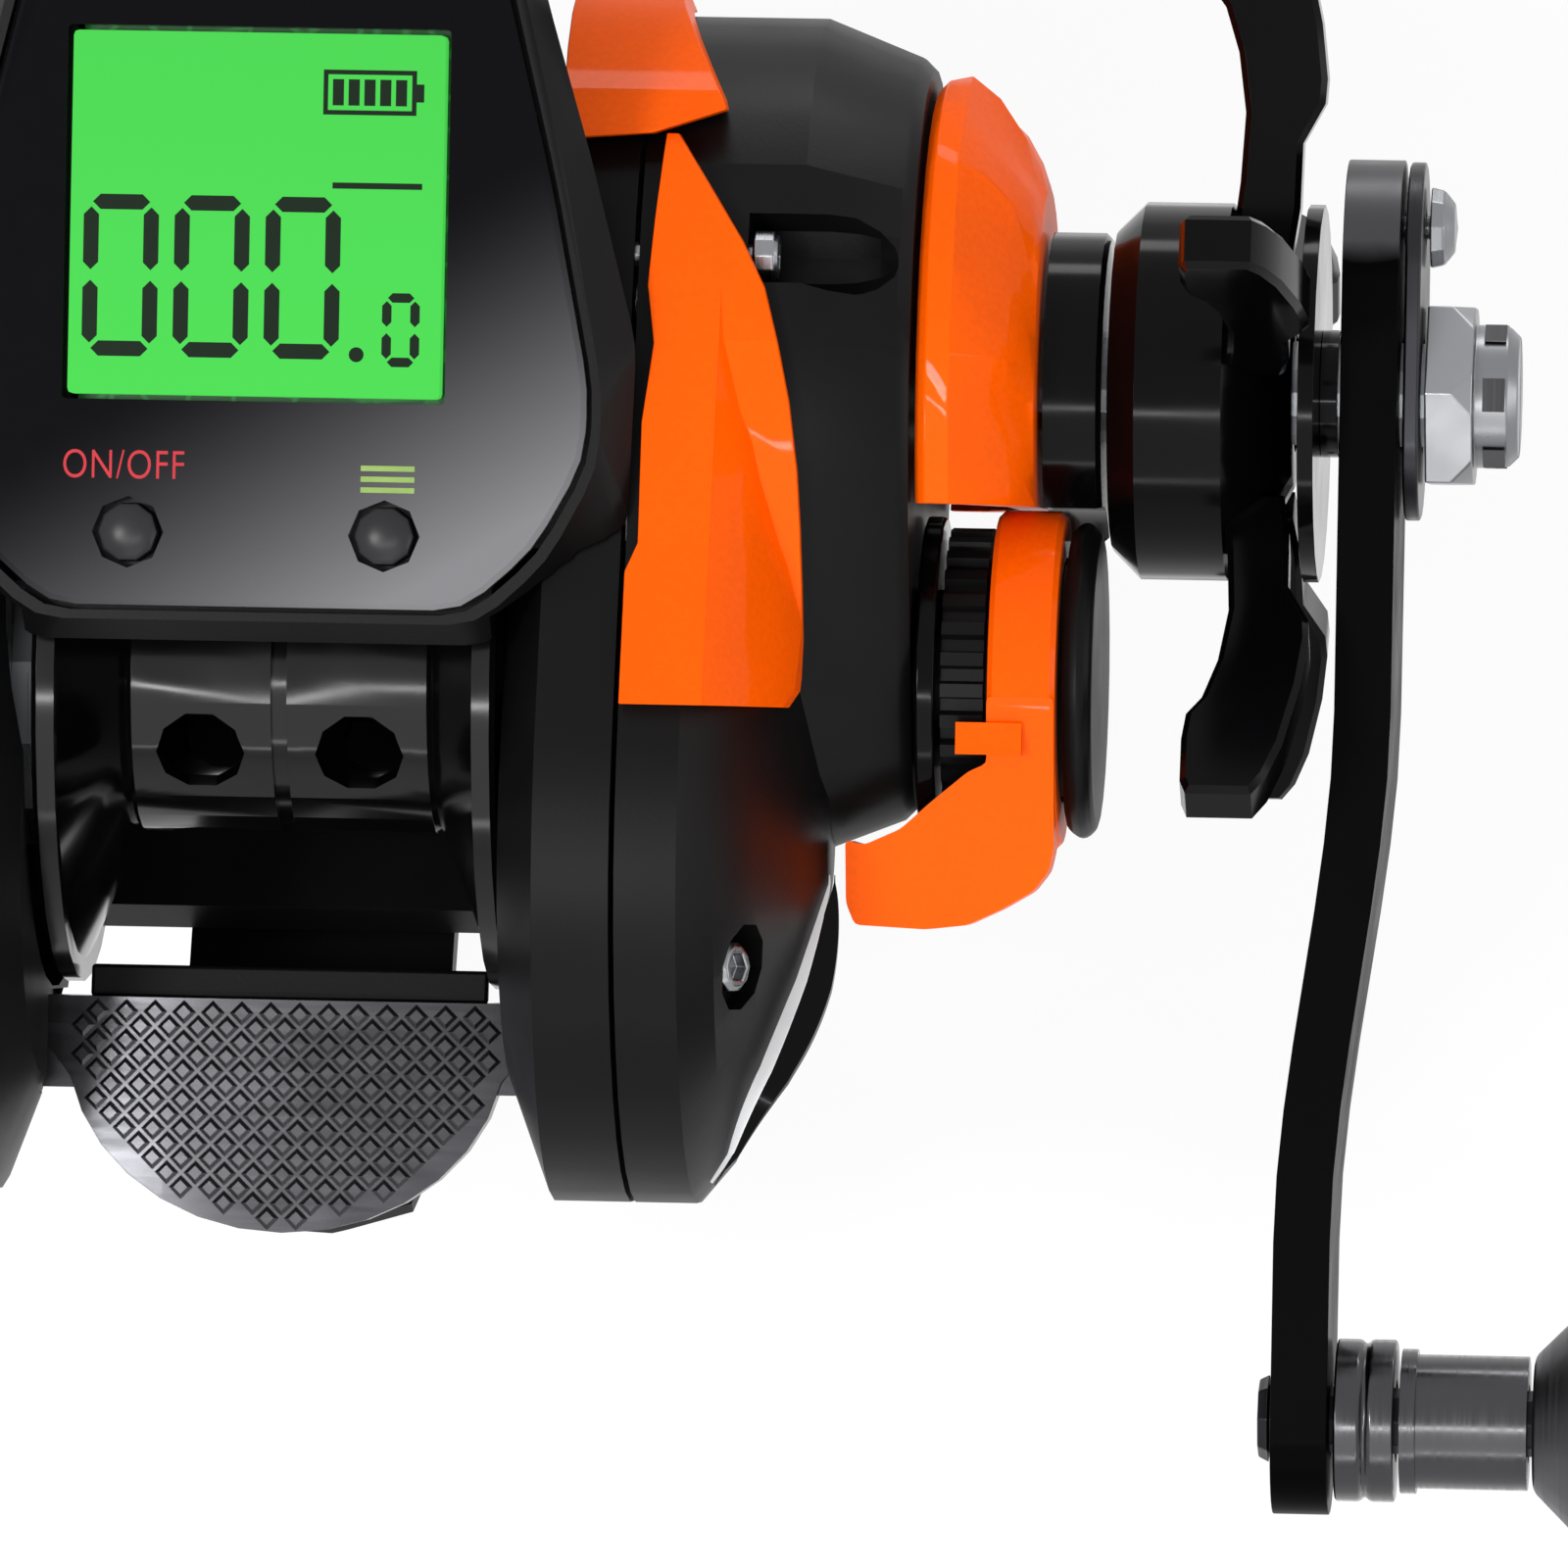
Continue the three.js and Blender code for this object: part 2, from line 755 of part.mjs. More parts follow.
function frameFoot() {
  const middle = spoolSetback;
  const [rear, front] = [middle - footLength / 2, middle + footLength / 2];
  const base = -spoolHeight;
  const side = [
    point(rear, base + footTipLift), point(middle - padLength / 2, base), point(middle + padLength / 2, base),
    point(front, base + footTipLift), point(front, base + footTipLift + footTipThickness),
    point(stemFront, footTop), point(-stemRear, footTop), point(rear, base + footTipLift + footTipThickness),
  ];
  const tip = footHalfWidth * footTipShare;
  const top = softened(rectangle(-footHalfWidth, footHalfWidth, rear, front), tip);
  const plan = prismZ(top, base - overrun, footTop + overrun);
  const body = common(prismX(side, -footHalfWidth, footHalfWidth), plan);
  const rodSeat = rod(-footLength, footLength, rodRadius).rotateZ(Math.PI / 2);
  const hollow = (from, to) => {
    const seat = rodSeat.clone().translate(0, middle, base + footHollow - rodRadius + footTipLift / 2);
    return common(seat, prismZ(rectangle(-footHalfWidth, footHalfWidth, from, to), base - overrun, footTop));
  };
  const rearHollow = hollow(rear - overrun, middle - padLength / 2);
  const frontHollow = hollow(middle + padLength / 2, front + overrun);
  return cut(body, rearHollow, frontHollow);
}

function frameStem() {
  const base = footTop - footThickness / 2;
  const top = keelFloor * stemTopShare;
  const outline = [
    point(-stemRear, base), point(stemFront, base),
    point(stemFront - stemTaper, top), point(stemTaper - stemRear, top),
  ];
  return prismX(outline, -stemHalfWidth, stemHalfWidth);
}

function framePlate() {
  const plate = loftX([
    { place: wallX, outline: plateOutline(dishInset) },
    { place: wallX + dishWidth, outline: plateOutline() },
    { place: seamX, outline: plateOutline() },
  ]);
  return cut(plate, prismX(plateOutline(rimWall), webX, seamX + overrun));
}

// The post inside a plate that a cover screw is driven into
function screwPost(spot) {
  const post = rod(-2 * screwLength, 0, screwShankRadius + bossWall, smallSteps);
  return common(screwPlaced(post, spot), prismX(plateOutline(), webX - seatGap, seamX));
}

function frameSide() {
  const cheek = prismX(cheekOutline(), wallX, webX);
  const bushBoss = atWorm(rod(wallX, webX, bushRadius + bossWall, hiddenSteps));
  const railBoss = atRail(rod(wallX, webX, railRadius + bossWall, hiddenSteps));
  return join(framePlate(), cheek, bushBoss, railBoss);
}

// The channel in each wall that the thumb bar's ends slide in
function barChannel() {
  const far = -barTop - barBlockLength - runGap;
  const room = rectangle(wallX - overrun, barHalfWidth + runGap, far, runGap - barTop);
  return onDeck(prismZ(room, barHeight - barBlockDepth - barTravel - runGap, barHeight + runGap + barCrown));
}

function frame() {
  const side = frameSide();
  const keel = prismX(keelOutline(), seatGap - webX, webX - seatGap);
  const posts = coverScrews.map(screwPost);
  const body = join(side, mirrored(side), keel, frameStem(), frameFoot(), ...posts);
  const pinionRoom = rod(wallX - overrun, webX + overrun, (gearModule * pinionTeeth) / 2 + 2 * runGap);
  const driveBore = atDrive(rod(wallX - overrun, webX + overrun, driveBearingRadius + seatGap));
  const spoolPass = rod(-webX - overrun, overrun - wallX, flangeRadius + runGap, beltSteps);
  const bushBore = atWorm(rod(-webX - overrun, webX + overrun, bushRadius + seatGap, smallSteps));
  const railBore = atRail(rod(railFloor - webX, webX - railFloor, railRadius + seatGap, smallSteps));
  const channels = [barChannel(), mirrored(barChannel())];
  const screwHoles = coverScrews.map(screwRoom);
  return cut(body, pinionRoom, driveBore, spoolPass, bushBore, railBore, ...channels, ...screwHoles);
}

// Side covers

function domeHollow(height, shares) {
  const steps = shares.map(([up, inward]) => (
    { place: bandX + height * up - coverWall, outline: plateOutline(domeInset * inward) }
  ));
  return loftX([
    { place: coverX - overrun, outline: plateOutline(rimWall) },
    { place: bandX - coverWall / 2, outline: plateOutline(rimWall) },
    ...steps,
  ]);
}

function bulgeHollow() {
  return loftX([
    { place: coverX - overrun, outline: bulgeOutline(coverWall, 0) },
    { place: bulgeTaperX, outline: bulgeOutline(coverWall, 0) },
    { place: bulgeX - coverWall, outline: bulgeOutline(bulgeTaper + coverWall, 0) },
  ]);
}

// The wall round a sunk screw, kept inside the cover's own outer shape
function screwBoss(spot, outer) {
  const end = spot.groove + spot.nose + bossWall;
  const boss = rod(-screwLength, end, screwGrooveRadius + bossWall, grooveSteps);
  return common(screwPlaced(boss, spot), outer);
}

function gearSideCover() {
  const outer = join(domeOf(domeHeight, 0), bulgeOf(0));
  const shell = cut(outer, domeHollow(domeHeight, gearHollowShares), bulgeHollow());
  const ceiling = bulgeX - coverWall;
  const seatEnd = ceiling + coverWall / 2;
  const clutchRoom = clutchRadius + seatGap;
  const bearingRoom = bearingRadius + seatGap;
  const clutchStart = ceiling - clutchLength - seatGap;
  const clutchSeat = atDrive(ring(clutchStart, seatEnd, clutchRoom, clutchRoom + bossWall));
  const bearingSeat = ring(ceiling - bearingWidth, seatEnd, bearingRoom, bearingRoom + bossWall);
  const castBoss = rod(ceiling, bulgeX + castBossLength, castBossRadius);
  const bosses = coverScrews.map((spot) => screwBoss(spot, outer));
  const solidCover = join(shell, clutchSeat, bearingSeat, castBoss, ...bosses);
  const driveBore = atDrive(rod(ceiling - overrun, bulgeX + overrun, clutchBore + seatGap));
  const shaftBore = rod(ceiling - overrun, seatEnd, spoolShaftRadius + 2 * seatGap);
  return cut(solidCover, driveBore, shaftBore, ...coverScrews.map(screwRoom));
}

function palmSideCover() {
  const outer = domeOf(palmDomeHeight, 0);
  const shell = cut(outer, domeHollow(palmDomeHeight, palmHollowShares));
  const floorStart = palmDialFloor - coverWall;
  const wallEnd = palmDialFloor + domeHeight;
  const pocketRadius = dialRadius + runGap;
  const bearingRoom = bearingRadius + seatGap;
  const boss = ring(magnetEnd + seatGap, palmDialFloor, bearingRoom, bearingRoom + bossWall);
  const floor = rod(floorStart, palmDialFloor, pocketRadius + bossWall);
  const wall = common(ring(floorStart, wallEnd, pocketRadius, pocketRadius + bossWall), outer);
  return mirrored(cut(join(shell, boss, floor, wall), rod(palmDialFloor, wallEnd, pocketRadius)));
}

// Orange panels

function trimPanel(height, bulge = []) {
  const outline = trimOutlineShares.map(([across, along]) =>
    point(coverX + across * trimWidth, along * trimLength - trimRear));
  const column = onDeck(prismZ(outline, 0, deckHeight + overrun));
  const outer = join(domeOf(height, seatGap + trimThickness), ...bulge);
  const bezelRoom = onDeck(prismZ(bezelOutline(-seatGap), 0, deckHeight + overrun));
  return cut(common(column, outer), sideMass(seatGap), bulgeOf(seatGap), bezelRoom);
}

function shoulderOutline(grow = 0) {
  const start = wallX + shoulderInset;
  return shoulderOutlineShares.map(([across, along]) => {
    const x = start + across * shoulderWidth;
    const y = shoulderStart + along * shoulderLength;
    const side = along > 0.5 || across > 0.5 ? grow : -grow;
    return point(x + side, y + (along > 0 ? grow : -grow));
  });
}

function shoulderPanel() {
  const column = onDeck(prismZ(shoulderOutline(), driveW, deckHeight));
  const arc = atDrive(ring(
    wallX, bandX + shoulderWidth, frontRadius + seatGap, frontRadius + seatGap + shoulderThickness, beltSteps,
  ));
  return common(column, arc);
}

// Counter

function fasciaOutline(inset = 0) {
  const outline = sharedOutline(fasciaOutlineShares, fasciaHalfWidth, fasciaRear, fasciaLength, inset);
  return softened(outline, fasciaCorner);
}

function bezelOutline(inset = 0) {
  const outline = sharedOutline(bezelOutlineShares, bezelHalfWidth, bezelRear, bezelLength, inset);
  return softened(outline, bezelCorner);
}

function podBody() {
  const crown = loftZ([
    { place: deckHeight - podDepth, outline: bezelOutline(podDraft) },
    { place: deckHeight - bezelDrop - bezelRim, outline: bezelOutline(bezelRim / 2) },
    { place: deckHeight - bezelDrop, outline: bezelOutline() },
    { place: deckHeight - seatGap, outline: fasciaOutline(-bezelRim) },
  ]);
  return onDeck(crown);
}

// The part of the housing that reaches down between the plates, over the front line opening
function podNose() {
  const deckEnd = point(fasciaRear + fasciaLength, deckHeight - bezelDrop).rotateAround(point(0, 0), tilt);
  const outline = [
    point(driveY * podRearShare, podUnderside), point(podFrontY, podUnderside),
    point(podFrontY - podFrontLean, deckEnd.y * podFrontShare), deckEnd, point(0, spoolRoom + coverWall),
  ];
  return prismX(outline, seatGap - wallX, wallX - seatGap);
}

function podCavity() {
  const half = boardHalfWidth + seatGap;
  const rear = buttonPlace - buttonRadius - 2 * buttonFlange;
  const outline = rectangle(-half, half, rear, batteryPlace + batteryRadius + seatGap);
  const box = prismZ(outline, boardHeight - batteryThickness - 4 * seatGap, deckHeight);
  return cut(onDeck(box), rod(-wallX, wallX, spoolRoom + podWall));
}

function hatchBox(grow, depth) {
  const half = hatchHalfWidth + grow;
  const outline = rectangle(-half, half, hatchPlace - depth, hatchPlace + overrun);
  const middle = boardHeight - batteryThickness / 2 - seatGap;
  return onDeck(prismZ(outline, middle - hatchHeight / 2 - grow, middle + hatchHeight / 2 + grow));
}

function counterHousing() {
  const body = join(podBody(), podNose());
  const bothSides = join(sideMass(seatGap), bulgeOf(seatGap));
  const shoulderRoom = common(
    onDeck(prismZ(shoulderOutline(seatGap), driveW, deckHeight)),
    atDrive(rod(wallX, bandX + shoulderWidth, frontRadius + shoulderThickness + 2 * seatGap, beltSteps)),
  );
  const spoolSpace = rod(-wallX - overrun, wallX + overrun, spoolRoom, beltSteps);
  const fasciaFloor = deckHeight - fasciaThickness - seatGap;
  const fasciaSeat = onDeck(prismZ(fasciaOutline(-seatGap), fasciaFloor, deckHeight + overrun));
  const half = batteryRadius + seatGap;
  const slot = rectangle(-half, half, batteryPlace, hatchPlace + overrun);
  const slotFloor = boardHeight - batteryThickness - 2 * seatGap;
  const batterySlot = onDeck(prismZ(slot, slotFloor, boardHeight - seatGap / 2));
  return cut(
    body, bothSides, mirrored(bothSides), shoulderRoom, mirrored(shoulderRoom), spoolSpace, fasciaSeat,
    podCavity(), batterySlot, hatchBox(seatGap, hatchThickness),
  );
}

function batteryHatch() {
  const room = hatchBox(0, hatchThickness - seatGap);
  return common(room, podBody());
}

function lcdOutline(grow = 0) {
  const half = lcdWidth / 2 + grow;
  const front = lcdRear + lcdLength + grow;
  return softened(rectangle(lcdShift - half, lcdShift + half, lcdRear - grow, front), edgeBreak);
}

function fasciaPanel() {
  const slab = prismZ(fasciaOutline(), deckHeight - fasciaThickness, deckHeight, [], edgeBreak);
  const window = prismZ(lcdOutline(seatGap), 0, deckHeight + overrun);
  const wells = [-1, 1].map((side) =>
    rod(0, deckHeight + overrun, buttonRadius + runGap, smallSteps).rotateY(-Math.PI / 2)
      .translate(side * buttonSpread, buttonPlace, 0));
  return onDeck(cut(slab, window, ...wells));
}

function lcdScreen() {
  return onDeck(prismZ(lcdOutline(), deckHeight - lcdSink - lcdThickness, deckHeight - lcdSink));
}

function counterBoard() {
  const start = buttonPlace - buttonRadius;
  const outline = softened(rectangle(-boardHalfWidth, boardHalfWidth, start, boardEnd), edgeBreak);
  return onDeck(prismZ(outline, boardHeight, boardHeight + boardThickness));
}

function battery() {
  const top = boardHeight - seatGap;
  const cell = turned([
    [top - batteryThickness, 0], [top - batteryThickness, batteryRadius - edgeBreak],
    [top - batteryThickness + edgeBreak, batteryRadius], [top, batteryRadius], [top, 0],
  ]);
  return onDeck(cell.rotateY(-Math.PI / 2).translate(0, batteryPlace, 0));
}

function button() {
  const under = deckHeight - fasciaThickness - seatGap;
  const dome = buttonDomeShares.map(([up, out]) => [deckHeight + buttonRise * up, buttonRadius * out]);
  const profile = [
    [under - buttonFlangeThickness, 0], [under - buttonFlangeThickness, buttonRadius + buttonFlange],
    [under, buttonRadius + buttonFlange], [under, buttonRadius], [deckHeight, buttonRadius], ...dome,
    [deckHeight + buttonRise, 0],
  ];
  return turned(profile, grooveSteps).rotateY(-Math.PI / 2);
}

// Thumb bar, drawn on the deck's axes

function barOutline() {
  const shoulder = -barTop - barShoulder;
  const arc = Array.from({ length: barArcSteps + 1 }, (_, k) => {
    const angle = Math.PI * (1 - k / barArcSteps);
    const reach = k % barArcSteps === 0 ? barHalfWidth : barHalfWidth * barTipShare;
    return point(reach * Math.cos(angle), shoulder - (barLength - barShoulder) * Math.sin(angle));
  });
  return [point(-barHalfWidth, -barTop), ...arc, point(barHalfWidth, -barTop)];
}

function thumbBar() {
  const blank = prismZ(barOutline(), barHeight - barThickness - barCrown, barHeight);
  const bow = barHalfWidth ** 2 / (2 * barCrown);
  const crown = rod(-2 * barLength, 2 * barLength, bow, crownSteps).rotateZ(Math.PI / 2);
  crown.translate(0, -barTop, barHeight - bow);
  const end = prismZ(
    rectangle(wallX - barThickness, barHalfWidth, -barTop - barBlockLength, -barTop),
    barHeight - barBlockDepth, barHeight - barCrown,
  );
  return join(common(blank, crown), end, mirrored(end));
}

// Spool

function spool() {
  const hollow = drumRadius - drumWall;
  const hubStart = drumHalfWidth * hubStartShare;
  const flangeIn = flangeHalfWidth - flangeRim;
  const flangeInner = flangeRadius * flangeInnerShare;
  const groove = drumGrooveWidth / 2;
  const half = [
    [flangeHalfWidth, flangeRadius - edgeBreak], [flangeHalfWidth - edgeBreak, flangeRadius],
    [flangeIn, flangeRadius], [flangeIn, flangeRadius - flangeRim],
    [drumHalfWidth + edgeBreak, drumRadius - edgeBreak], [drumHalfWidth, drumRadius], [groove, drumRadius],
    [groove, drumRadius - drumGrooveDepth],
  ];
  const outside = [...half, ...half.map(([x, r]) => [-x, r]).reverse()];
  const inside = [
    [-flangeHalfWidth, flangeInner], [-drumHalfWidth, hollow], [hubStart, hollow], [hubStart, spoolHubRadius],
    [-drumHalfWidth, spoolHubRadius], [-drumHalfWidth, spoolShaftRadius + seatGap],
    [drumHalfWidth + drumWall, spoolShaftRadius + seatGap], [drumHalfWidth + drumWall, hollow],
    [flangeHalfWidth, flangeInner],
  ];
  const body = turned([...outside, ...inside, outside[0]], spoolSteps);
  const ports = [-1, 1].flatMap((side) =>
    Array.from({ length: portCount }, (_, k) => {
      const port = rod(hollow - drumWall, drumRadius + overrun, portRadius, grooveSteps);
      const angle = (2 * Math.PI * k) / portCount + portTurn * radians;
      return port.rotateY(-Math.PI / 2).translate(side * portOffset, 0, 0).rotateX(angle);
    }));
  return cut(body, ...ports);
}

function spoolShaft() {
  const start = -coverX - bearingWidth / 2;
  const collar = drumHalfWidth + drumWall + seatGap;
  const collarRadius = spoolHubRadius - seatGap;
  return turned([
    [start, 0], [start, spoolShaftRadius], [collar, spoolShaftRadius], [collar, collarRadius],
    [flangeHalfWidth, collarRadius], [flangeHalfWidth, spoolShaftRadius], [spoolShaftEnd, spoolShaftRadius],
    [spoolShaftEnd + edgeBreak, spoolShaftRadius - edgeBreak], [spoolShaftEnd + edgeBreak, 0],
  ], smallSteps);
}

function brakeRotor() {
  const start = -drumHalfWidth - seatGap;
  const end = -flangeHalfWidth - rotorLength;
  return turned([
    [start, spoolShaftRadius + seatGap], [start, spoolHubRadius],
    [-flangeHalfWidth + rotorWall, spoolHubRadius],
    [-flangeHalfWidth + rotorWall, rotorRadius], [end, rotorRadius], [end, rotorRadius - rotorWall],
    [-flangeHalfWidth, rotorRadius - rotorWall], [-flangeHalfWidth, spoolShaftRadius + seatGap],
    [start, spoolShaftRadius + seatGap],
  ]);
}

function bearing(x0, width, bore, radius) {
  const step = (radius - bore) * bearingRingShare;
  return turned([
    [x0, bore], [x0, bore + step], [x0 + edgeBreak, bore + step], [x0 + edgeBreak, radius - step],
    [x0, radius - step], [x0, radius], [x0 + width, radius], [x0 + width, bore], [x0, bore],
  ], smallSteps);
}

// Gear train

function mainGear() {
  const bore = circleOutline(0, 0, driveShaftRadius + seatGap, smallSteps);
  const phase = toothAt(Math.PI + driveAngle, mainTeeth);
  return prismX(gearOutline(mainTeeth, phase), mainGearStart, mainGearStart + mainGearWidth, [bore]);
}

// The turn of a wheel, counted in teeth, that brings a tooth to an angle. The mating wheel has a space there,
// so its turn is half a tooth more
function toothAt(angle, teeth) {
  return (angle * teeth) / (2 * Math.PI);
}

function pinion() {
  const phase = toothAt(driveAngle, pinionTeeth) + 1 / 2;
  const bore = circleOutline(0, 0, pinionBore, smallSteps);
  const grooveEnd = pinionGrooveStart + pinionGrooveWidth;
  const tailRadius = pinionRoot + gearModule;
  const teeth = prismX(gearOutline(pinionTeeth, phase), grooveEnd, pinionStart + pinionLength, [bore]);
  const tail = ring(pinionStart, grooveEnd + pinionCollar, pinionBore, tailRadius, smallSteps);
  const groove = ring(pinionGrooveStart, grooveEnd, pinionGrooveRadius, tailRadius + overrun, smallSteps);
  return cut(join(teeth, tail), groove);
}

function guideDriveGear() {
  const phase = toothAt(-wormDrop * radians, guideDriveTeeth);
  const bore = circleOutline(0, 0, driveStubRadius + seatGap, smallSteps);
  return prismX(gearOutline(guideDriveTeeth, phase), guideDriveStart, guideDriveEnd, [bore]);
}

function guideGear() {
  const phase = toothAt(Math.PI - wormDrop * radians, guideGearTeeth) + 1 / 2;
  const bore = circleOutline(0, 0, wormEndRadius + seatGap, smallSteps);
  return prismX(gearOutline(guideGearTeeth, phase), guideDriveStart, guideDriveEnd, [bore]);
}

function driveShaft() {
  const flangeEnd = driveFlangeStart + driveFlangeLength;
  const end = retainerEndX + seatGap + nutThickness * nutThreadShare;
  return turned([
    [wallX, 0], [wallX, driveStubRadius], [driveFlangeStart, driveStubRadius],
    [driveFlangeStart, driveFlangeRadius], [flangeEnd, driveFlangeRadius], [flangeEnd, driveShaftRadius],
    [end, driveShaftRadius], [end, 0],
  ], hiddenSteps);
}

function clutchYoke() {
  const fit = pinionGrooveRadius + runGap;
  const mouth = fit * yokeForkShare;
  const x0 = pinionGrooveStart + runGap / 2;
  const x1 = pinionGrooveStart + pinionGrooveWidth - runGap / 2;
  const back = -yokeHalfWidth - yokeFoot;
  const outline = [
    point(back, -yokeHalfLength), point(yokeFoot, -yokeHalfLength), point(yokeFoot, -mouth), point(-fit, -fit),
    point(-fit, fit), point(yokeFoot, mouth), point(yokeFoot, yokeHalfLength), point(back, yokeHalfLength),
  ];
  return prismX(outline, x0, x1);
}

// Level wind

function wormShaft() {
  const half = wallX - seatGap;
  const rings = Math.round((2 * half) / (wormPitch / 2));
  const profile = [[-webX, 0], [-webX, wormEndRadius], [-half, wormEndRadius], [-half, wormRadius]];
  for (let k = 1; k < rings; k += 1) {
    const x = -half + (2 * half * k) / rings;
    profile.push([x - wormGroove, wormRadius], [x, wormRadius - wormGroove], [x + wormGroove, wormRadius]);
  }
  profile.push([half, wormRadius], [half, wormEndRadius]);
  profile.push([driveFlangeStart, wormEndRadius], [driveFlangeStart, 0]);
  return turned(profile, smallSteps);
}

function lineGuide() {
  const front = guideDepth / 2;
  const top = guideTop - wormZ;
  const back = wormRadius + bossWall;
  const railFront = railForward + railRadius + bossWall;
  const body = [
    point(-back, wormRadius), point(-front, back), point(-front, top), point(front, top), point(front, back),
    point(railFront, wormRadius), point(railFront, -railDrop - railRadius - bossWall), point(-back, -back),
  ];
  const reach = 3 * guideHalfWidth;
  const block = prismX(body, -guideHalfWidth, guideHalfWidth);
  const crown = rod(-reach, reach, guideHalfWidth).rotateZ(Math.PI / 2).translate(0, 0, top - guideHalfWidth);
  const sides = rectangle(-guideHalfWidth, guideHalfWidth, -reach, reach);
  const under = prismZ(sides, -reach, top - guideHalfWidth);
  const eye = rod(-reach, reach, guideEyeRadius).rotateZ(Math.PI / 2).translate(0, 0, guideEyeHeight - wormZ);
  const wormBore = rod(-reach, reach, wormRadius + runGap, smallSteps);
  const railBore = rod(-reach, reach, railRadius + runGap, smallSteps).translate(0, railForward, -railDrop);
  const pawlBore = rod(-wormRadius - pawlLength - overrun, -wormRadius / 2, pawlRadius + seatGap, smallSteps);
  return cut(common(block, join(crown, under)), eye, wormBore, railBore, pawlBore.rotateY(-Math.PI / 2));
}

function guideInsert() {
  const inner = guideEyeRadius - seatGap - insertWall;
  const half = guideDepth / 2;
  return turned([
    [-half, inner + edgeBreak], [-half, guideEyeRadius - seatGap], [half, guideEyeRadius - seatGap],
    [half, inner + edgeBreak], [edgeBreak, inner], [-edgeBreak, inner], [-half, inner + edgeBreak],
  ]).rotateZ(Math.PI / 2).translate(0, 0, guideEyeHeight - wormZ);
}

function guidePawl() {
  const top = -wormRadius - runGap;
  return rod(top - pawlLength + seatGap, top, pawlRadius, smallSteps).rotateY(-Math.PI / 2);
}

// Handle side

function cupSection([along, out], k) {
  const count = cupFacets * cupFacetSteps;
  const turn = 2 * Math.PI * cupTwistShare * along;
  const outline = Array.from({ length: count }, (_, i) => {
    const angle = (2 * Math.PI * i) / count;
    const radius = cupRadius * out * (1 + cupWaveShares[k] * Math.cos(cupFacets * angle + turn));
    return point(radius * Math.cos(angle), radius * Math.sin(angle));
  });
  return { place: cupStart + along * cupLength, outline };
}

function dragCup() {
  const cup = loftX(cupProfileShares.map(cupSection));
  const ceiling = cupEnd - coverWall;
  const hollowRadius = cupRadius * cupHollowShare;
  const endRadius = cupRadius * cupProfileShares.at(-1)[1];
  const step = cupStart + cupLength * cupHollowDepthShare;
  const hollow = turned([
    [cupStart - overrun, 0], [cupStart - overrun, hollowRadius], [step, hollowRadius],
    [ceiling, endRadius - coverWall], [ceiling, 0],
  ]);
  const bore = rod(cupStart - overrun, cupEnd + overrun, clutchBore + seatGap);
  const reach = 2 * cupRadius;
  const side = rectangle(cupStart - overrun, cupEnd + overrun, -reach, cupTrim);
  const trim = onDeck(prismZ(side, -reach, reach));
  return cut(atDrive(cut(cup, hollow, bore)), trim);
}

function dragCollar() {
  const start = cupEnd + seatGap;
  const collar = turned([
    [start, clutchBore], [start, collarRadius], [collarEnd - edgeBreak, collarRadius],
    [collarEnd, collarRadius - edgeBreak], [collarEnd, clutchBore], [start, clutchBore],
  ]);
  return cut(atDrive(collar), rod(cupEnd, collarEnd + overrun, leverRadius + runGap, beltSteps));
}

function starArm(angle) {
  const shoulder = hubEnd + starShoulderStep;
  const outline = starOutlineShares.map(([across, out]) =>
    point(shoulder + across * starDepth, out * starReach));
  return prismZ(outline, -starWidth / 2, starWidth / 2, [], starEdge).rotateX(angle);
}

function starDrag() {
  const bore = driveShaftRadius + runGap;
  const stepX = hubEnd + noseLength * noseStepShare;
  const hub = turned([
    [hubStart, bore], [hubStart, hubRadius - hubChamfer], [hubStart + hubChamfer, hubRadius], [hubEnd, hubRadius],
    [stepX, hubRadius * noseStepRadiusShare], [noseX, noseRadius], [noseX, bore], [hubStart, bore],
  ]);
  const arms = Array.from({ length: starArms }, (_, k) =>
    starArm(starFirstArm * radians + (2 * Math.PI * k) / starArms));
  return join(hub, ...arms);
}

function handleWasher() {
  const end = washerStart + washerThickness;
  const bore = driveShaftRadius + seatGap;
  const spacerEnd = end + spacerLength;
  return turned([
    [washerStart, bore], [washerStart, washerRadius], [end, washerRadius], [end, spacerRadius],
    [spacerEnd, spacerRadius], [spacerEnd, bore], [washerStart, bore],
  ]);
}

// The arm's own axes: the drive axis is at the origin and the knob lies towards -Y

function armBend(down) {
  const share = THREE.MathUtils.smoothstep(down, armBendStart, armBendEnd);
  return -armOffset * share;
}

function handleArm() {
  const reach = crankLength + armEndRadius;
  const top = armTopReach + armWidth / 2;
  const places = [-top, armBendStart / 2];
  for (let k = 0; k <= armBendSteps; k += 1) {
    places.push(armBendStart + ((armBendEnd - armBendStart) * k) / armBendSteps);
  }
  places.push(reach);
  const near = places.map((down) => point(armStart + armBend(down), -down));
  const far = places.map((down) => point(armStart + armBend(down) + armThickness, -down)).reverse();
  const side = prismZ([...near, ...far], -armWidth, armWidth);
  const face = belt([
    { y: armTopReach, z: 0, radius: armWidth / 2 },
    { y: 0, z: 0, radius: armWidth / 2 },
    { y: -crankLength, z: 0, radius: armEndRadius },
  ]);
  const blank = prismX(face, armStart - 2 * armOffset, armEndX + overrun);
  const pivotBore = rod(armStart - overrun, armEndX + overrun, driveShaftRadius + seatGap, smallSteps);
  const postBore = rod(armStart - armOffset - overrun, armEndX, knobPostRadius + seatGap, smallSteps)
    .translate(0, -crankLength, 0);
  const screwBore = rod(armStart + armThickness / 3, armEndX + overrun, screwShankRadius + seatGap, smallSteps);
  screwBore.translate(0, retainerScrewPlace, 0);
  return cut(common(side, blank), pivotBore, postBore, screwBore);
}

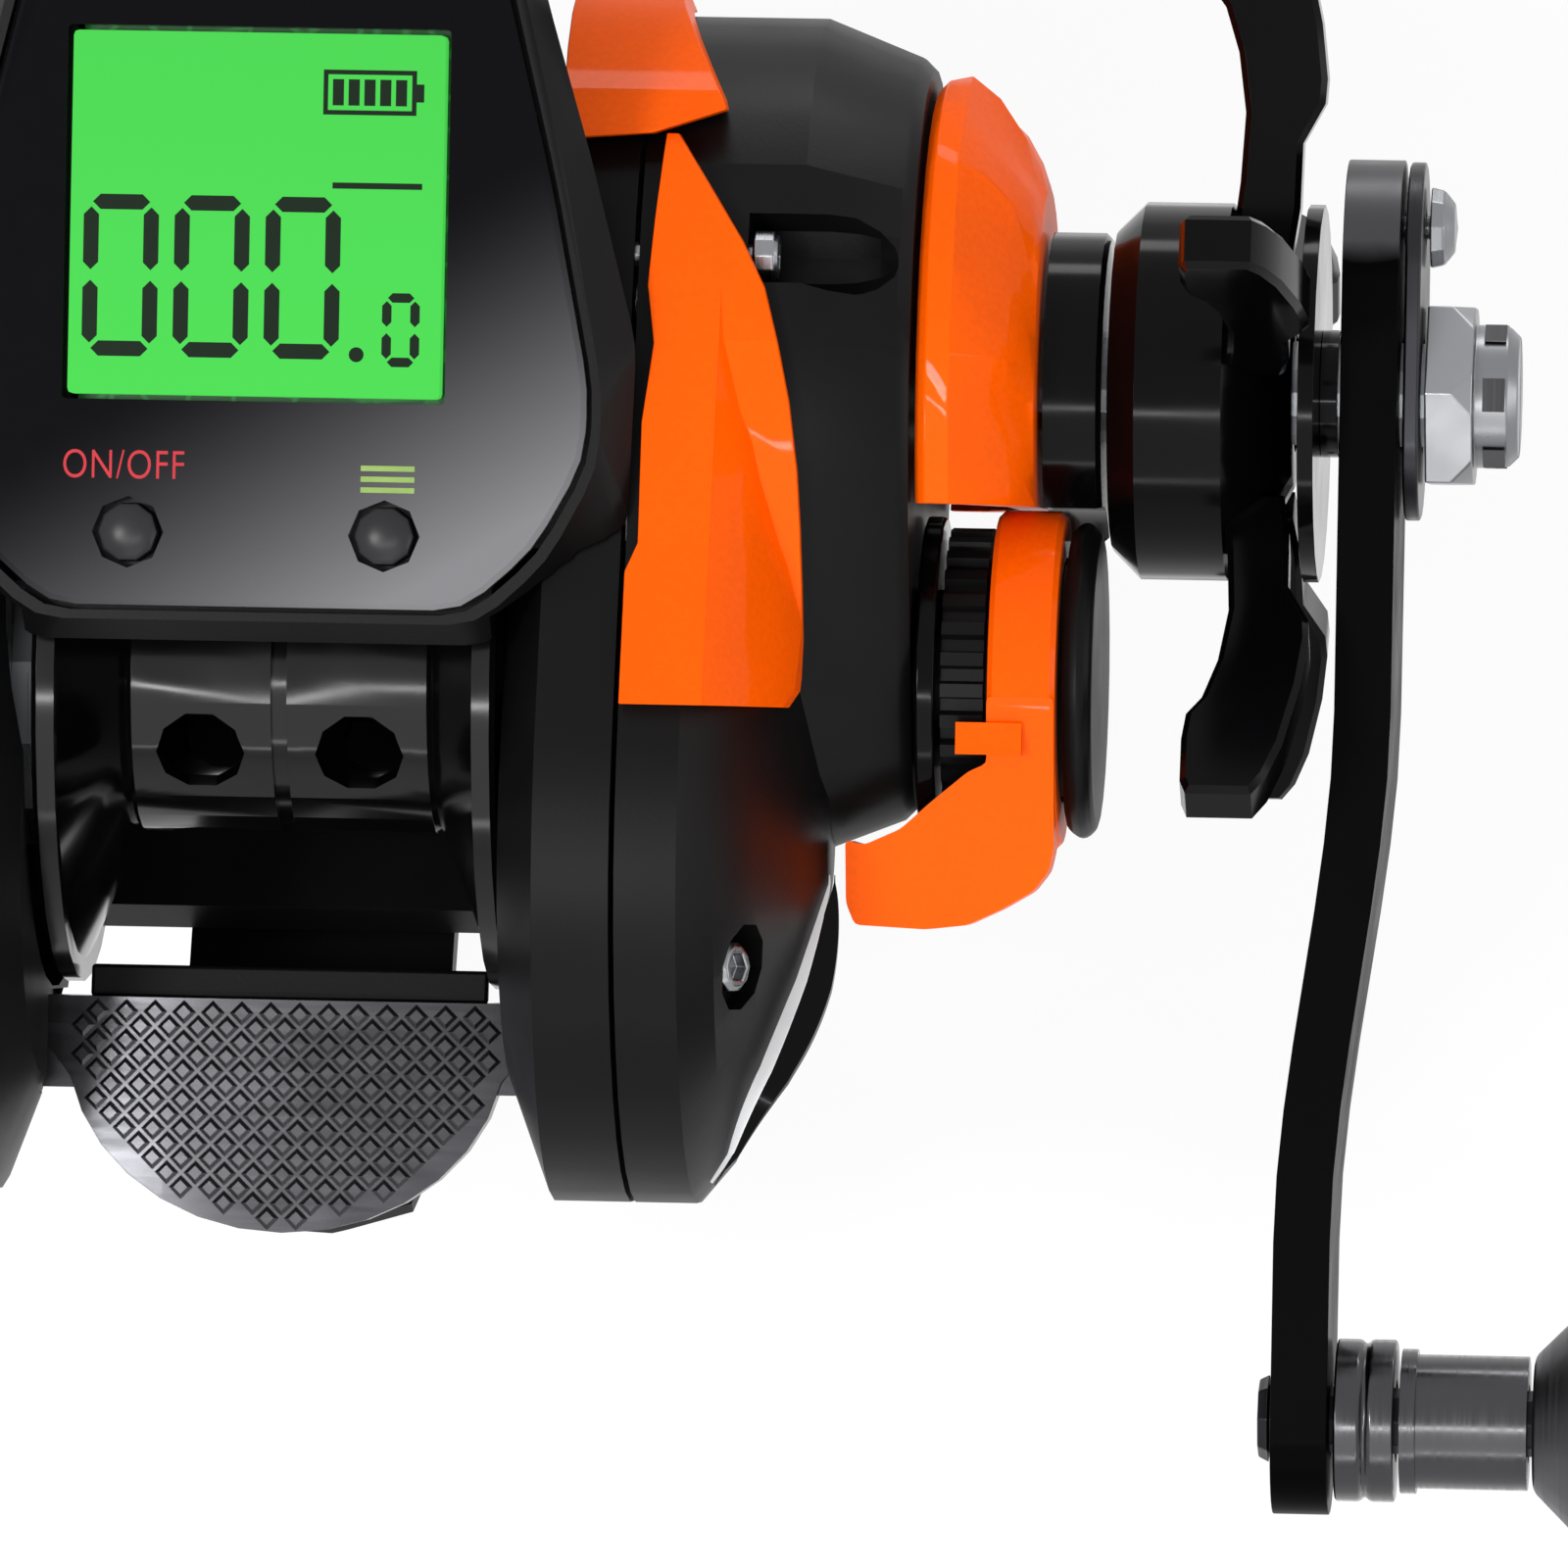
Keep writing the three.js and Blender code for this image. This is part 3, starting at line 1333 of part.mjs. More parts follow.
function hexagon(flats) {
  const corner = flats / Math.sqrt(3);
  return Array.from({ length: 6 }, (_, k) => {
    const angle = (Math.PI / 3) * k + Math.PI / 2;
    return point(corner * Math.cos(angle), corner * Math.sin(angle));
  });
}

function handleRetainer() {
  const start = armEndX + seatGap;
  const outline = belt([
    { y: retainerTop - retainerHalfWidth, z: 0, radius: retainerHalfWidth },
    { y: retainerHalfWidth - retainerBottom, z: 0, radius: retainerHalfWidth },
  ], turnSteps);
  const screwHole = circleOutline(retainerScrewPlace, 0, screwShankRadius + seatGap, smallSteps);
  const shaftHole = circleOutline(0, 0, driveShaftRadius + seatGap, smallSteps);
  return prismX(outline, start, start + retainerThickness, [screwHole, shaftHole]);
}

function retainerScrew() {
  const start = retainerEndX + seatGap;
  const tip = start - retainerThickness - armThickness / 2;
  const head = retainerHeadShares.map(([up, out]) => (
    [start + retainerScrewHeight * up, retainerScrewRadius * out]
  ));
  return turned([
    [tip, 0], [tip, screwShankRadius], [start, screwShankRadius], [start, retainerScrewRadius], ...head,
    [start + retainerScrewHeight, 0],
  ], grooveSteps).translate(0, retainerScrewPlace, 0);
}

function handleNut() {
  const start = retainerEndX + seatGap;
  const end = start + nutThickness;
  const capEnd = end + nutCapLength;
  const hex = prismX(hexagon(nutFlats), start, end);
  const coneRadius = nutFlats * nutConeShare;
  const cone = turned([
    [start - overrun, 0], [start - overrun, coneRadius + overrun], [start + nutThickness / 2, coneRadius],
    [end, nutFlats * nutConeEndShare], [end, 0],
  ]);
  const cap = turned([
    [start, 0], [start, nutCapRadius], [capEnd - edgeBreak * 2, nutCapRadius],
    [capEnd, nutCapRadius - edgeBreak * 2], [capEnd, 0],
  ]);
  const bore = rod(start - overrun, end - edgeBreak, driveShaftRadius + seatGap, smallSteps);
  const slot = new THREE.BoxGeometry(nutCapLength, nutCapRadius * 3, nutSlotWidth).translate(capEnd, 0, 0);
  return cut(join(common(hex, cone), cap), bore, slot);
}

// Knob, on its own axis

function knobPost() {
  const head = armStart - armOffset - seatGap;
  const end = knobNeckEnd + knobLength * knobPostShare;
  return turned([
    [head - edgeBreak * 2, 0], [head - edgeBreak * 2, knobPostRadius + edgeBreak],
    [head, knobPostRadius + edgeBreak * 2], [head, knobPostRadius], [end, knobPostRadius], [end, 0],
  ], smallSteps);
}

function knobBush() {
  const end = knobStart + knobBushLength;
  const middle = knobStart + knobBushLength / 2;
  const inner = knobPostRadius + runGap;
  return turned([
    [knobStart, inner], [knobStart, knobBushRadius], [middle - edgeBreak, knobBushRadius],
    [middle, knobBushRadius - edgeBreak], [middle + edgeBreak, knobBushRadius], [end, knobBushRadius],
    [end, inner], [knobStart, inner],
  ]);
}

function knobNeck() {
  const start = knobStart + knobBushLength + seatGap;
  const inner = knobPostRadius + runGap;
  return turned([
    [start, inner], [start, knobGrooveRadius], [start + knobGrooveLength, knobGrooveRadius],
    [start + knobGrooveLength, knobNeckRadius], [knobNeckEnd, knobNeckRadius], [knobNeckEnd, inner],
    [start, inner],
  ]);
}

function knobGrip() {
  const start = knobNeckEnd + seatGap;
  const outer = knobProfileShares.map(([along, out]) => [start + along * knobLength, out * knobRadius]);
  const end = outer.at(-1)[0];
  const inner = knobPostRadius + runGap;
  const capRoom = knobCapRadius + seatGap;
  return turned([
    [start, inner], ...outer, [end, capRoom], [end - coverWall, capRoom], [end - coverWall, inner], [start, inner],
  ]);
}

function knobCap() {
  const end = knobNeckEnd + seatGap + knobProfileShares.at(-1)[0] * knobLength;
  const base = end - coverWall + seatGap;
  const edgeRadius = knobCapRadius * knobCapEdgeShare;
  return turned([
    [base, 0], [base, knobCapRadius], [end, knobCapRadius], [end + edgeBreak * 2, edgeRadius],
    [end + edgeBreak * 3, 0],
  ]);
}

// Cast control

function castBase() {
  return ring(cupStart, cupStart + castBaseLength, castBossRadius + seatGap, castBaseRadius);
}

function castKnob() {
  const ribRoot = castKnobRadius - castRibDepth;
  const outline = toothedOutline(castRibs, castKnobRadius, ribRoot, ribTipShare, ribRootShare);
  const ribbed = prismX(outline, castKnobStart, castKnobStart + castKnobLength);
  const hub = rod(castKnobStart, leverStart + leverWidth, castHubRadius);
  const bore = rod(castKnobStart - overrun, bulgeX + castBossLength + seatGap, castBossRadius + runGap);
  return cut(join(ribbed, hub), bore);
}

function castCap() {
  const start = leverStart + leverWidth + seatGap;
  return turned([
    [start, 0], [start, capRadius - edgeBreak * 2], [start + edgeBreak * 2, capRadius],
    [start + capThickness - edgeBreak * 2, capRadius], [start + capThickness, capRadius - edgeBreak * 2],
    [start + capThickness, 0],
  ]);
}

// Lever, drawn on the deck's axes round the spool axis

// The tail seen along X: it follows the ring for a few degrees and leaves it straight
function leverProfile() {
  const inner = leverRadius - leverTailThickness;
  const at = (radius, degrees) => point(radius, 0).rotateAround(point(0, 0), degrees * radians);
  const angles = Array.from({ length: leverArcSteps + 1 }, (_, k) =>
    THREE.MathUtils.lerp(leverArcStart, leverArcEnd, k / leverArcSteps));
  const way = at(1, leverArcEnd + 90);
  const straight = (leverTailStart + leverTailDrop + at(leverRadius, leverArcEnd).x) / -way.x;
  const tip = (radius) => at(radius, leverArcEnd).addScaledVector(way, straight + overrun);
  const under = angles.map((degrees) => at(inner, degrees)).reverse();
  return [...angles.map((degrees) => at(leverRadius, degrees)), tip(leverRadius), tip(inner), ...under];
}

function clickerLever() {
  const end = leverStart + leverWidth;
  const inner = castHubRadius + runGap;
  const band = turned([
    [leverStart, inner], [leverStart, leverRadius - edgeBreak], [leverStart + edgeBreak, leverRadius],
    [end - edgeBreak, leverRadius], [end, leverRadius - edgeBreak], [end, inner], [leverStart, inner],
  ], beltSteps);
  const outline = leverTailShares.map(([across, down]) =>
    point(leverStart - across * leverTailReach, -leverTailStart - leverTailDrop * down));
  const side = prismX(leverProfile(), leverStart - leverTailReach - overrun, end);
  const tail = common(prismZ(softened(outline, edgeBreak), -2 * leverRadius, 2 * leverRadius), side);
  const tab = new THREE.BoxGeometry(leverTabLength + overrun, leverTabHeight, leverTabHeight).translate(
    leverStart - leverTabLength / 2 + overrun / 2, -leverTabPlace, leverRadius - leverTabHeight / 2,
  );
  const ribRoom = rod(bulgeTaperX, leverStart - seatGap / 2, castBaseRadius + runGap, beltSteps);
  const hubRoom = rod(cupStart, end + overrun, inner);
  const tabRoom = rod(cupStart, leverStart, castKnobRadius + runGap);
  return join(cut(tail, ribRoom, hubRoom), band, cut(tab, tabRoom));
}

// Palm side brake

function brakeDial() {
  const start = palmDialFloor + seatGap;
  const face = start + dialThickness;
  const outline = toothedOutline(dialRibs, dialRadius, dialRadius - dialRibDepth, ribTipShare, ribRootShare);
  const body = prismX(outline, start, face);
  const gripOutline = rectangle(-dialGripLength / 2, dialGripLength / 2, -dialGrip / 2, dialGrip / 2);
  const grip = prismX(gripOutline, face - 2 * dialRibDepth, face + dialGripRise);
  const [inner, outer] = [dialRadius * dialHubShare, dialRadius * dialRecessShare];
  const recess = ring(face - dialRibDepth, face + overrun, inner, outer);
  return mirrored(join(cut(body, recess), grip));
}

function magnetHolder() {
  const inner = bearingRadius + 2 * seatGap;
  const plate = magnetEnd - magnetPlate;
  return mirrored(turned([
    [magnetStart, magnetInner], [magnetStart, magnetOuter], [magnetEnd, magnetOuter], [magnetEnd, inner],
    [plate, inner], [plate, magnetInner], [magnetStart, magnetInner],
  ], hiddenSteps));
}

function coverScrew(spot) {
  const body = turned([
    [-screwLength, 0], [-screwLength, screwShankRadius], [0, screwShankRadius], [0, screwHeadRadius],
    [screwHeadHeight - edgeBreak, screwHeadRadius], [screwHeadHeight, screwHeadRadius - edgeBreak],
    [screwHeadHeight, 0],
  ], grooveSteps);
  const flats = 2 * screwHeadRadius * screwSocketShare;
  const socket = prismX(hexagon(flats), screwHeadHeight / 2, screwHeadHeight + overrun);
  return screwPlaced(cut(body, socket), spot);
}

// Finishes

function finish(color, roughness, metalness) {
  return () => new THREE.MeshStandardMaterial({ color, roughness, metalness });
}

const blackPlastic = finish(0x151617, 0.45, 0);
const blackGloss = finish(0x08090a, 0.12, 0);
const orange = finish(0xf75a08, 0.25, 0);
const darkMetal = finish(0x2b2d30, 0.3, 0.8);
const steel = finish(0xc9ccd0, 0.25, 1);
const brass = finish(0xc9a24a, 0.35, 1);
const ceramic = finish(0xdfe3e6, 0.2, 0);
const screen = finish(0x4edc55, 0.3, 0);
const boardGreen = finish(0x1d5b34, 0.6, 0);
const carbon = finish(0x222222, 0.8, 0);

const reel = new THREE.Group();
reel.position.set(0, -spoolSetback, spoolHeight);

function group(parent, place = [0, 0, 0], turn = 0) {
  const made = new THREE.Group();
  made.position.set(...place);
  made.rotation.x = turn;
  parent.add(made);
  return made;
}

function piece(parent, name, geometry, look) {
  const mesh = new THREE.Mesh(geometryOf(solid(geometry)), look());
  mesh.name = name;
  parent.add(mesh);
  return mesh;
}

function addShell() {
  piece(reel, "frame", frame(), blackPlastic);
  piece(reel, "gear_side_cover", gearSideCover(), blackPlastic);
  piece(reel, "palm_side_cover", palmSideCover(), blackPlastic);
  piece(reel, "gear_side_trim", trimPanel(domeHeight, [bulgeOf(seatGap + trimThickness)]), orange);
  piece(reel, "palm_side_trim", mirrored(trimPanel(palmDomeHeight)), orange);
  piece(reel, "gear_side_shoulder", shoulderPanel(), orange);
  piece(reel, "palm_side_shoulder", mirrored(shoulderPanel()), orange);
  coverScrews.forEach((spot) => piece(reel, spot.name, coverScrew(spot), steel));
}

function addCounter() {
  piece(reel, "counter_housing", counterHousing(), blackPlastic);
  piece(reel, "fascia", fasciaPanel(), blackGloss);
  piece(reel, "lcd_screen", lcdScreen(), screen);
  piece(reel, "counter_board", counterBoard(), boardGreen);
  piece(reel, "battery", battery(), steel);
  piece(reel, "battery_hatch", batteryHatch(), blackPlastic);
  const deck = group(reel, [0, 0, 0], tilt);
  piece(deck, "power_button", button(), blackGloss).position.set(-buttonSpread, buttonPlace, 0);
  piece(deck, "set_button", button(), blackGloss).position.set(buttonSpread, buttonPlace, 0);
  piece(deck, "thumb_bar", thumbBar(), darkMetal);
}

function addSpool() {
  const axle = group(reel);
  piece(axle, "spool", spool(), darkMetal);
  piece(axle, "spool_shaft", spoolShaft(), steel);
  piece(axle, "brake_rotor", brakeRotor(), steel);
  const bore = spoolShaftRadius + seatGap;
  const right = bulgeX - coverWall - bearingWidth - seatGap;
  const left = -coverX - bearingWidth / 2;
  piece(axle, "spool_bearing_right", bearing(right, bearingWidth, bore, bearingRadius), steel);
  piece(axle, "spool_bearing_left", bearing(left, bearingWidth, bore, bearingRadius), steel);
  piece(axle, "pinion", pinion(), brass);
  piece(axle, "clutch_yoke", clutchYoke(), carbon);
  piece(axle, "cast_base", castBase(), blackPlastic);
  piece(axle, "cast_knob", castKnob(), blackPlastic);
  piece(axle, "cast_cap", castCap(), blackPlastic);
  piece(group(axle, [0, 0, 0], tilt), "clicker_lever", clickerLever(), orange);
  piece(axle, "brake_dial", brakeDial(), blackPlastic);
  piece(axle, "magnet_holder", magnetHolder(), steel);
}

function addDrive() {
  const still = group(reel, [0, driveY, driveRise]);
  const bore = driveShaftRadius + seatGap;
  const stub = driveStubRadius + seatGap;
  piece(still, "drive_shaft", driveShaft(), steel);
  piece(still, "main_gear", mainGear(), brass);
  piece(still, "guide_drive_gear", guideDriveGear(), blackPlastic);
  const dragStart = mainGearStart + mainGearWidth + seatGap;
  const plateStart = dragStart + dragWasherThickness + seatGap;
  const washer = ring(dragStart, dragStart + dragWasherThickness, bore, dragWasherRadius, hiddenSteps);
  const plate = ring(plateStart, plateStart + pressureThickness, bore, pressureRadius, hiddenSteps);
  piece(still, "drag_washer", washer, carbon);
  piece(still, "pressure_plate", plate, steel);
  const driveBearing = bearing(wallX + seatGap, webThickness - seatGap, stub, driveBearingRadius);
  piece(still, "drive_bearing", driveBearing, steel);
  const clutchEnd = bulgeX - coverWall - seatGap;
  const clutch = ring(clutchEnd - clutchLength, clutchEnd, bore, clutchRadius, hiddenSteps);
  piece(still, "one_way_clutch", clutch, steel);
  piece(reel, "drag_cup", dragCup(), orange);
  piece(reel, "drag_collar", dragCollar(), blackPlastic);
  const turning = group(still, [0, 0, 0], tilt);
  piece(turning, "star_drag", starDrag(), blackPlastic);
  piece(turning, "handle_washer", handleWasher(), blackPlastic);
  piece(turning, "handle_arm", handleArm(), blackGloss);
  piece(turning, "handle_retainer", handleRetainer(), blackPlastic);
  piece(turning, "retainer_screw", retainerScrew(), steel);
  piece(turning, "handle_nut", handleNut(), steel);
  const knob = group(turning, [0, -crankLength, 0]);
  piece(knob, "knob_post", knobPost(), darkMetal);
  piece(knob, "knob_bush", knobBush(), steel);
  piece(knob, "knob_neck", knobNeck(), steel);
  piece(knob, "knob_grip", knobGrip(), blackPlastic);
  piece(knob, "knob_cap", knobCap(), steel);
}

function addLevelWind() {
  const worm = group(reel, [0, wormY, wormZ]);
  piece(worm, "worm_shaft", wormShaft(), steel);
  piece(worm, "guide_gear", guideGear(), blackPlastic);
  [["worm_bush_right", 1], ["worm_bush_left", -1]].forEach(([name, side]) => {
    const x0 = side > 0 ? wallX : -webX;
    piece(worm, name, ring(x0, x0 + webThickness, wormEndRadius + seatGap, bushRadius, smallSteps), brass);
  });
  piece(worm, "line_guide", lineGuide(), blackPlastic);
  piece(worm, "guide_insert", guideInsert(), ceramic);
  piece(worm, "guide_pawl", guidePawl(), steel);
  const half = webX - railFloor - seatGap;
  piece(reel, "guide_rail", atRail(rod(-half, half, railRadius, smallSteps)), steel);
}

addShell();
addCounter();
addSpool();
addDrive();
addLevelWind();

export default reel;
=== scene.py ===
"""Looks of a low-profile fishing reel with an electronic line counter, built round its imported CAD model."""

import json
import math

import bmesh
import bpy
from mathutils import Matrix, Vector
from mathutils.bvhtree import BVHTree


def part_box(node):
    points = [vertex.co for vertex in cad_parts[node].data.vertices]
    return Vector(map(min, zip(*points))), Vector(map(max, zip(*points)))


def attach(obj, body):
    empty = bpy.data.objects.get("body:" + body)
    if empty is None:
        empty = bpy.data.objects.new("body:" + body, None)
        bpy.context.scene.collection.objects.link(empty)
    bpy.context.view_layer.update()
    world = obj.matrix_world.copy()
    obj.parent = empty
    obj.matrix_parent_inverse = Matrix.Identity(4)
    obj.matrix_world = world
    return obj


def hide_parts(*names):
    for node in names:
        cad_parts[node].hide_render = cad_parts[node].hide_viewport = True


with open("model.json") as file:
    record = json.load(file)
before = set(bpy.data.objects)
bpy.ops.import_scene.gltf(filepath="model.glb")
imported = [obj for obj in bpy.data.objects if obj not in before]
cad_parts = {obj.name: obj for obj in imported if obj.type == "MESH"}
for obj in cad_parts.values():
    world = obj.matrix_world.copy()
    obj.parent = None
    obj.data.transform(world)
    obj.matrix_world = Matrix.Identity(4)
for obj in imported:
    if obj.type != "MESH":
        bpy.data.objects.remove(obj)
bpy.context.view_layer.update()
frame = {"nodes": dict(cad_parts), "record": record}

bl_info = {
    "name": "Line Counter Reel",
    "version": (1, 0, 0),
    "blender": (4, 5, 0),
    "location": "View3D > Sidebar > Reel",
    "description": "Finishes, display, lettering and stage for a fishing reel with a line counter",
    "category": "Object",
}

MM = 0.001

# Millimetres, apart from the tilt. The deck is a plane through the spool's axis, tilted as the counter is:
# the tops are heights over it, and the thumb bar's shoulder is a place along it.
AXIS_HEIGHT = 25.0
AXIS_SETBACK = 7.0
DECK_TILT = math.radians(25)
DECK_TOP = 23.0
DISPLAY_TOP = 22.8
BAR_TOP = 2.2
BAR_BOW = 107.3
BAR_SHOULDER_ALONG = -18.9


def deck_point(x, along, height):
    """Millimetres on the counter's tilted deck, turned to the frame's metres."""
    y = along * math.cos(DECK_TILT) - height * math.sin(DECK_TILT) - AXIS_SETBACK
    z = along * math.sin(DECK_TILT) + height * math.cos(DECK_TILT) + AXIS_HEIGHT
    return Vector((x, y, z)) * MM


def deck_matrix(x, along, height):
    """The place and turn of something that lies on the deck, for a mesh in metres."""
    return Matrix.Translation(deck_point(x, along, height)) @ Matrix.Rotation(DECK_TILT, 4, "X")


def paint(red, green, blue):
    """An sRGB colour of 0 to 255 as linear light."""
    def linear(value):
        share = value / 255
        return share / 12.92 if share <= 0.04045 else ((share + 0.055) / 1.055) ** 2.4
    return (linear(red), linear(green), linear(blue), 1.0)


# Sizes and colours that a user would change


def colour_setting(name, description, red, green, blue):
    return bpy.props.FloatVectorProperty(
        name=name, description=description, subtype="COLOR", size=4, default=paint(red, green, blue))


def length_setting(name, description, millimetres):
    return bpy.props.FloatProperty(
        name=name, description=description, default=millimetres * MM, unit="LENGTH")


def power_setting(name, description, strength):
    return bpy.props.FloatProperty(name=name, description=f"Strength of the {description}", default=strength)


class ReelColours(bpy.types.PropertyGroup):
    body: colour_setting("Body", "Satin black of the frame and covers", 10, 10, 11)
    trim: colour_setting("Trim", "Orange of the panels, cup and lever", 247, 90, 2)
    display: colour_setting("Display", "Lit green of the display", 78, 218, 85)
    ink: colour_setting("Segments", "Dark of the display's digits", 16, 30, 18)
    switch_label: colour_setting("Switch label", "Red of the switch's lettering", 184, 54, 62)
    menu_label: colour_setting("Menu mark", "Yellow green of the mark by the right button", 138, 166, 92)


class ReelKnurl(bpy.types.PropertyGroup):
    pitch: length_setting("Pitch", "Distance between diamonds", 1.65)
    height: length_setting("Height", "How far each diamond stands up", 0.16)
    margin: length_setting("Margin", "Plain border round the diamonds", 0.8)


class ReelDisplay(bpy.types.PropertyGroup):
    digit_height: length_setting("Digit height", "Height of the three large digits", 9.0)
    digit_width: length_setting("Digit width", "Width of the three large digits", 4.2)
    stroke: length_setting("Stroke", "Width of a digit's bars", 0.85)


class ReelStage(bpy.types.PropertyGroup):
    floor_drop: length_setting("Floor drop", "How far the floor lies under the foot, clear of the knob", 47)
    soft_power: power_setting("Soft light", "wide light in front", 0.6)
    strip_power: power_setting("Strip light", "narrow light", 1.0)
    low_power: power_setting("Low light", "light near the floor", 0.35)
    left_power: power_setting("Left light", "light from the left", 1.7)
    right_power: power_setting("Right light", "light from the right", 0.5)
    back_power: power_setting("Back light", "light behind", 1.2)
    shade: bpy.props.FloatProperty(
        name="Shade", description="Share of the object's shadow that the floor shows", default=0.16,
        min=0, max=1)


# Shader building


class Signal:
    """A socket that takes part in plain arithmetic: each operator adds one Math node."""

    def __init__(self, finish, socket):
        self.finish = finish
        self.socket = socket

    def _math(self, operation, first, second):
        node = self.finish.node("ShaderNodeMath", {"operation": operation}, {0: first, 1: second})
        return Signal(self.finish, node.outputs[0])

    def __add__(self, other):
        return self._math("ADD", self, other)

    def __radd__(self, other):
        return self._math("ADD", other, self)

    def __sub__(self, other):
        return self._math("SUBTRACT", self, other)

    def __rsub__(self, other):
        return self._math("SUBTRACT", other, self)

    def __mul__(self, other):
        return self._math("MULTIPLY", self, other)

    def __rmul__(self, other):
        return self._math("MULTIPLY", other, self)


class Finish:
    """One material with a Principled shader, and short ways to add nodes to it."""

    def __init__(self, name):
        self.material = bpy.data.materials.new(name)
        self.material.use_nodes = True
        self.tree = self.material.node_tree
        self.shader = next(node for node in self.tree.nodes if node.type == "BSDF_PRINCIPLED")

    def node(self, kind, settings=None, inputs=None):
        made = self.tree.nodes.new(kind)
        for key, value in (settings or {}).items():
            setattr(made, key, value)
        for key, value in (inputs or {}).items():
            self.feed(made.inputs[key], value)
        return made

    def feed(self, socket, value):
        if isinstance(value, Signal):
            self.tree.links.new(value.socket, socket)
        elif isinstance(value, bpy.types.NodeSocket):
            self.tree.links.new(value, socket)
        else:
            socket.default_value = value

    def shine(self, **sockets):
        for key, value in sockets.items():
            self.feed(self.shader.inputs[key.replace("_", " ")], value)

    def place(self, stretch=(1, 1, 1)):
        coordinates = self.node("ShaderNodeTexCoord")
        mapping = self.node("ShaderNodeMapping", {}, {
            "Vector": coordinates.outputs["Object"], "Scale": stretch})
        return mapping.outputs["Vector"]

    def along(self, axis):
        """The place on one object axis, in metres."""
        coordinates = self.node("ShaderNodeTexCoord")
        parts = self.node("ShaderNodeSeparateXYZ", {}, {"Vector": coordinates.outputs["Object"]})
        return Signal(self, parts.outputs[axis])

    def noise(self, scale, detail, stretch=(1, 1, 1)):
        made = self.node("ShaderNodeTexNoise", {}, {
            "Vector": self.place(stretch), "Scale": scale, "Detail": detail, "Roughness": 0.55})
        return Signal(self, made.outputs["Fac"])

    def ramp(self, signal, low, high, start=0.0, end=1.0):
        made = self.node("ShaderNodeMapRange", {"clamp": True}, {
            "Value": signal, "From Min": start, "From Max": end, "To Min": low, "To Max": high})
        return Signal(self, made.outputs["Result"])

    def blend(self, factor, first, second):
        made = self.node("ShaderNodeMix", {"data_type": "RGBA"}, {"Factor": factor})
        colours = [socket for socket in made.inputs if socket.type == "RGBA"]
        self.feed(colours[0], first)
        self.feed(colours[1], second)
        return next(socket for socket in made.outputs if socket.type == "RGBA")

    def bump(self, height, depth, strength):
        made = self.node("ShaderNodeBump", {}, {"Height": height, "Distance": depth, "Strength": strength})
        self.feed(self.shader.inputs["Normal"], made.outputs["Normal"])
        return self


def tinted(colour, gain):
    return tuple(min(1.0, channel * gain) for channel in colour[:3]) + (1.0,)


def plastic(name, colour, roughness, grain, depth, coat=0.0, index=1.3):
    """Moulded plastic: a fine grain in the surface and slow changes in its sheen."""
    look = Finish(name)
    cloud = look.noise(90, 3)
    fine = look.noise(grain, 2)
    look.shine(
        Base_Color=look.blend(look.ramp(cloud, 0, 1, 0.35, 0.65), tinted(colour, 0.88), tinted(colour, 1.14)),
        Roughness=look.ramp(cloud, roughness - 0.04, roughness + 0.05, 0.3, 0.7),
        Coat_Weight=coat, Coat_Roughness=0.08, IOR=index)
    return look.bump(fine, depth, 0.5).material


def lacquer(name, colour):
    """Paint under a thin clear coat, with a faint pearl in the colour."""
    look = Finish(name)
    pearl = look.noise(2600, 1)
    cloud = look.noise(60, 2)
    mottle = look.ramp(pearl * 0.4 + cloud * 0.6, 0, 1, 0.38, 0.62)
    look.shine(
        Base_Color=look.blend(mottle, tinted(colour, 0.94), tinted(colour, 1.04)),
        Roughness=look.ramp(cloud, 0.3, 0.38, 0.3, 0.7), Coat_Weight=0.12, Coat_Roughness=0.05, IOR=1.04)
    return look.bump(pearl, 0.004 * MM, 0.3).material


def faded_panel(name, dark, pale):
    """The counter's glossy face: black at its top, with a painted reflection that turns it grey towards its
    lower right corner.
    """
    look = Finish(name)
    across = look.along("X")
    down = deck_point(0, 0, DECK_TOP).y - look.along("Y")
    # Painted reflection: the base colour goes from black to grey towards the lower right corner.
    painted_reflection = look.ramp(across * 0.6 + down * (1 / math.cos(DECK_TILT)), 0, 1, -20 * MM, 1 * MM)
    grain = look.noise(700, 2)
    look.shine(
        Base_Color=look.blend(painted_reflection * painted_reflection, dark, pale), Roughness=look.ramp(grain, 0.1, 0.16), IOR=1.13)
    return look.bump(grain, 0.001 * MM, 0.3).material


def bare_tipped(name, colour, tip, start, end):
    """Black coating that turns to a lighter metallic grey at the arm's upper end: a painted highlight."""
    look = Finish(name)
    cloud = look.noise(160, 3)
    # Painted highlight: a mask along the arm lightens the base colour and raises the metallic share at its
    # upper end.
    painted_highlight = look.ramp(look.along("Y") + (cloud - 0.5) * (1.6 * MM), 0, 1, start, end)
    look.shine(
        Base_Color=look.blend(painted_highlight, colour, tip), Metallic=painted_highlight, IOR=1.08,
        Roughness=look.ramp(cloud, 0.3, 0.42, 0.3, 0.7))
    return look.bump(look.noise(2200, 2), 0.003 * MM, 0.5).material


def turned_metal(name, colour, roughness):
    """Metal turned about the reel's cross axis: its tool lines run round that axis."""
    look = Finish(name)
    rings = look.noise(5200, 1, (1, 0.02, 0.02))
    cloud = look.noise(140, 2)
    look.shine(
        Base_Color=look.blend(look.ramp(cloud, 0, 1, 0.35, 0.65), tinted(colour, 0.93), tinted(colour, 1.05)),
        Roughness=look.ramp(rings, roughness - 0.04, roughness + 0.07, 0.3, 0.7), Metallic=1.0)
    return look.bump(rings, 0.006 * MM, 0.5).material


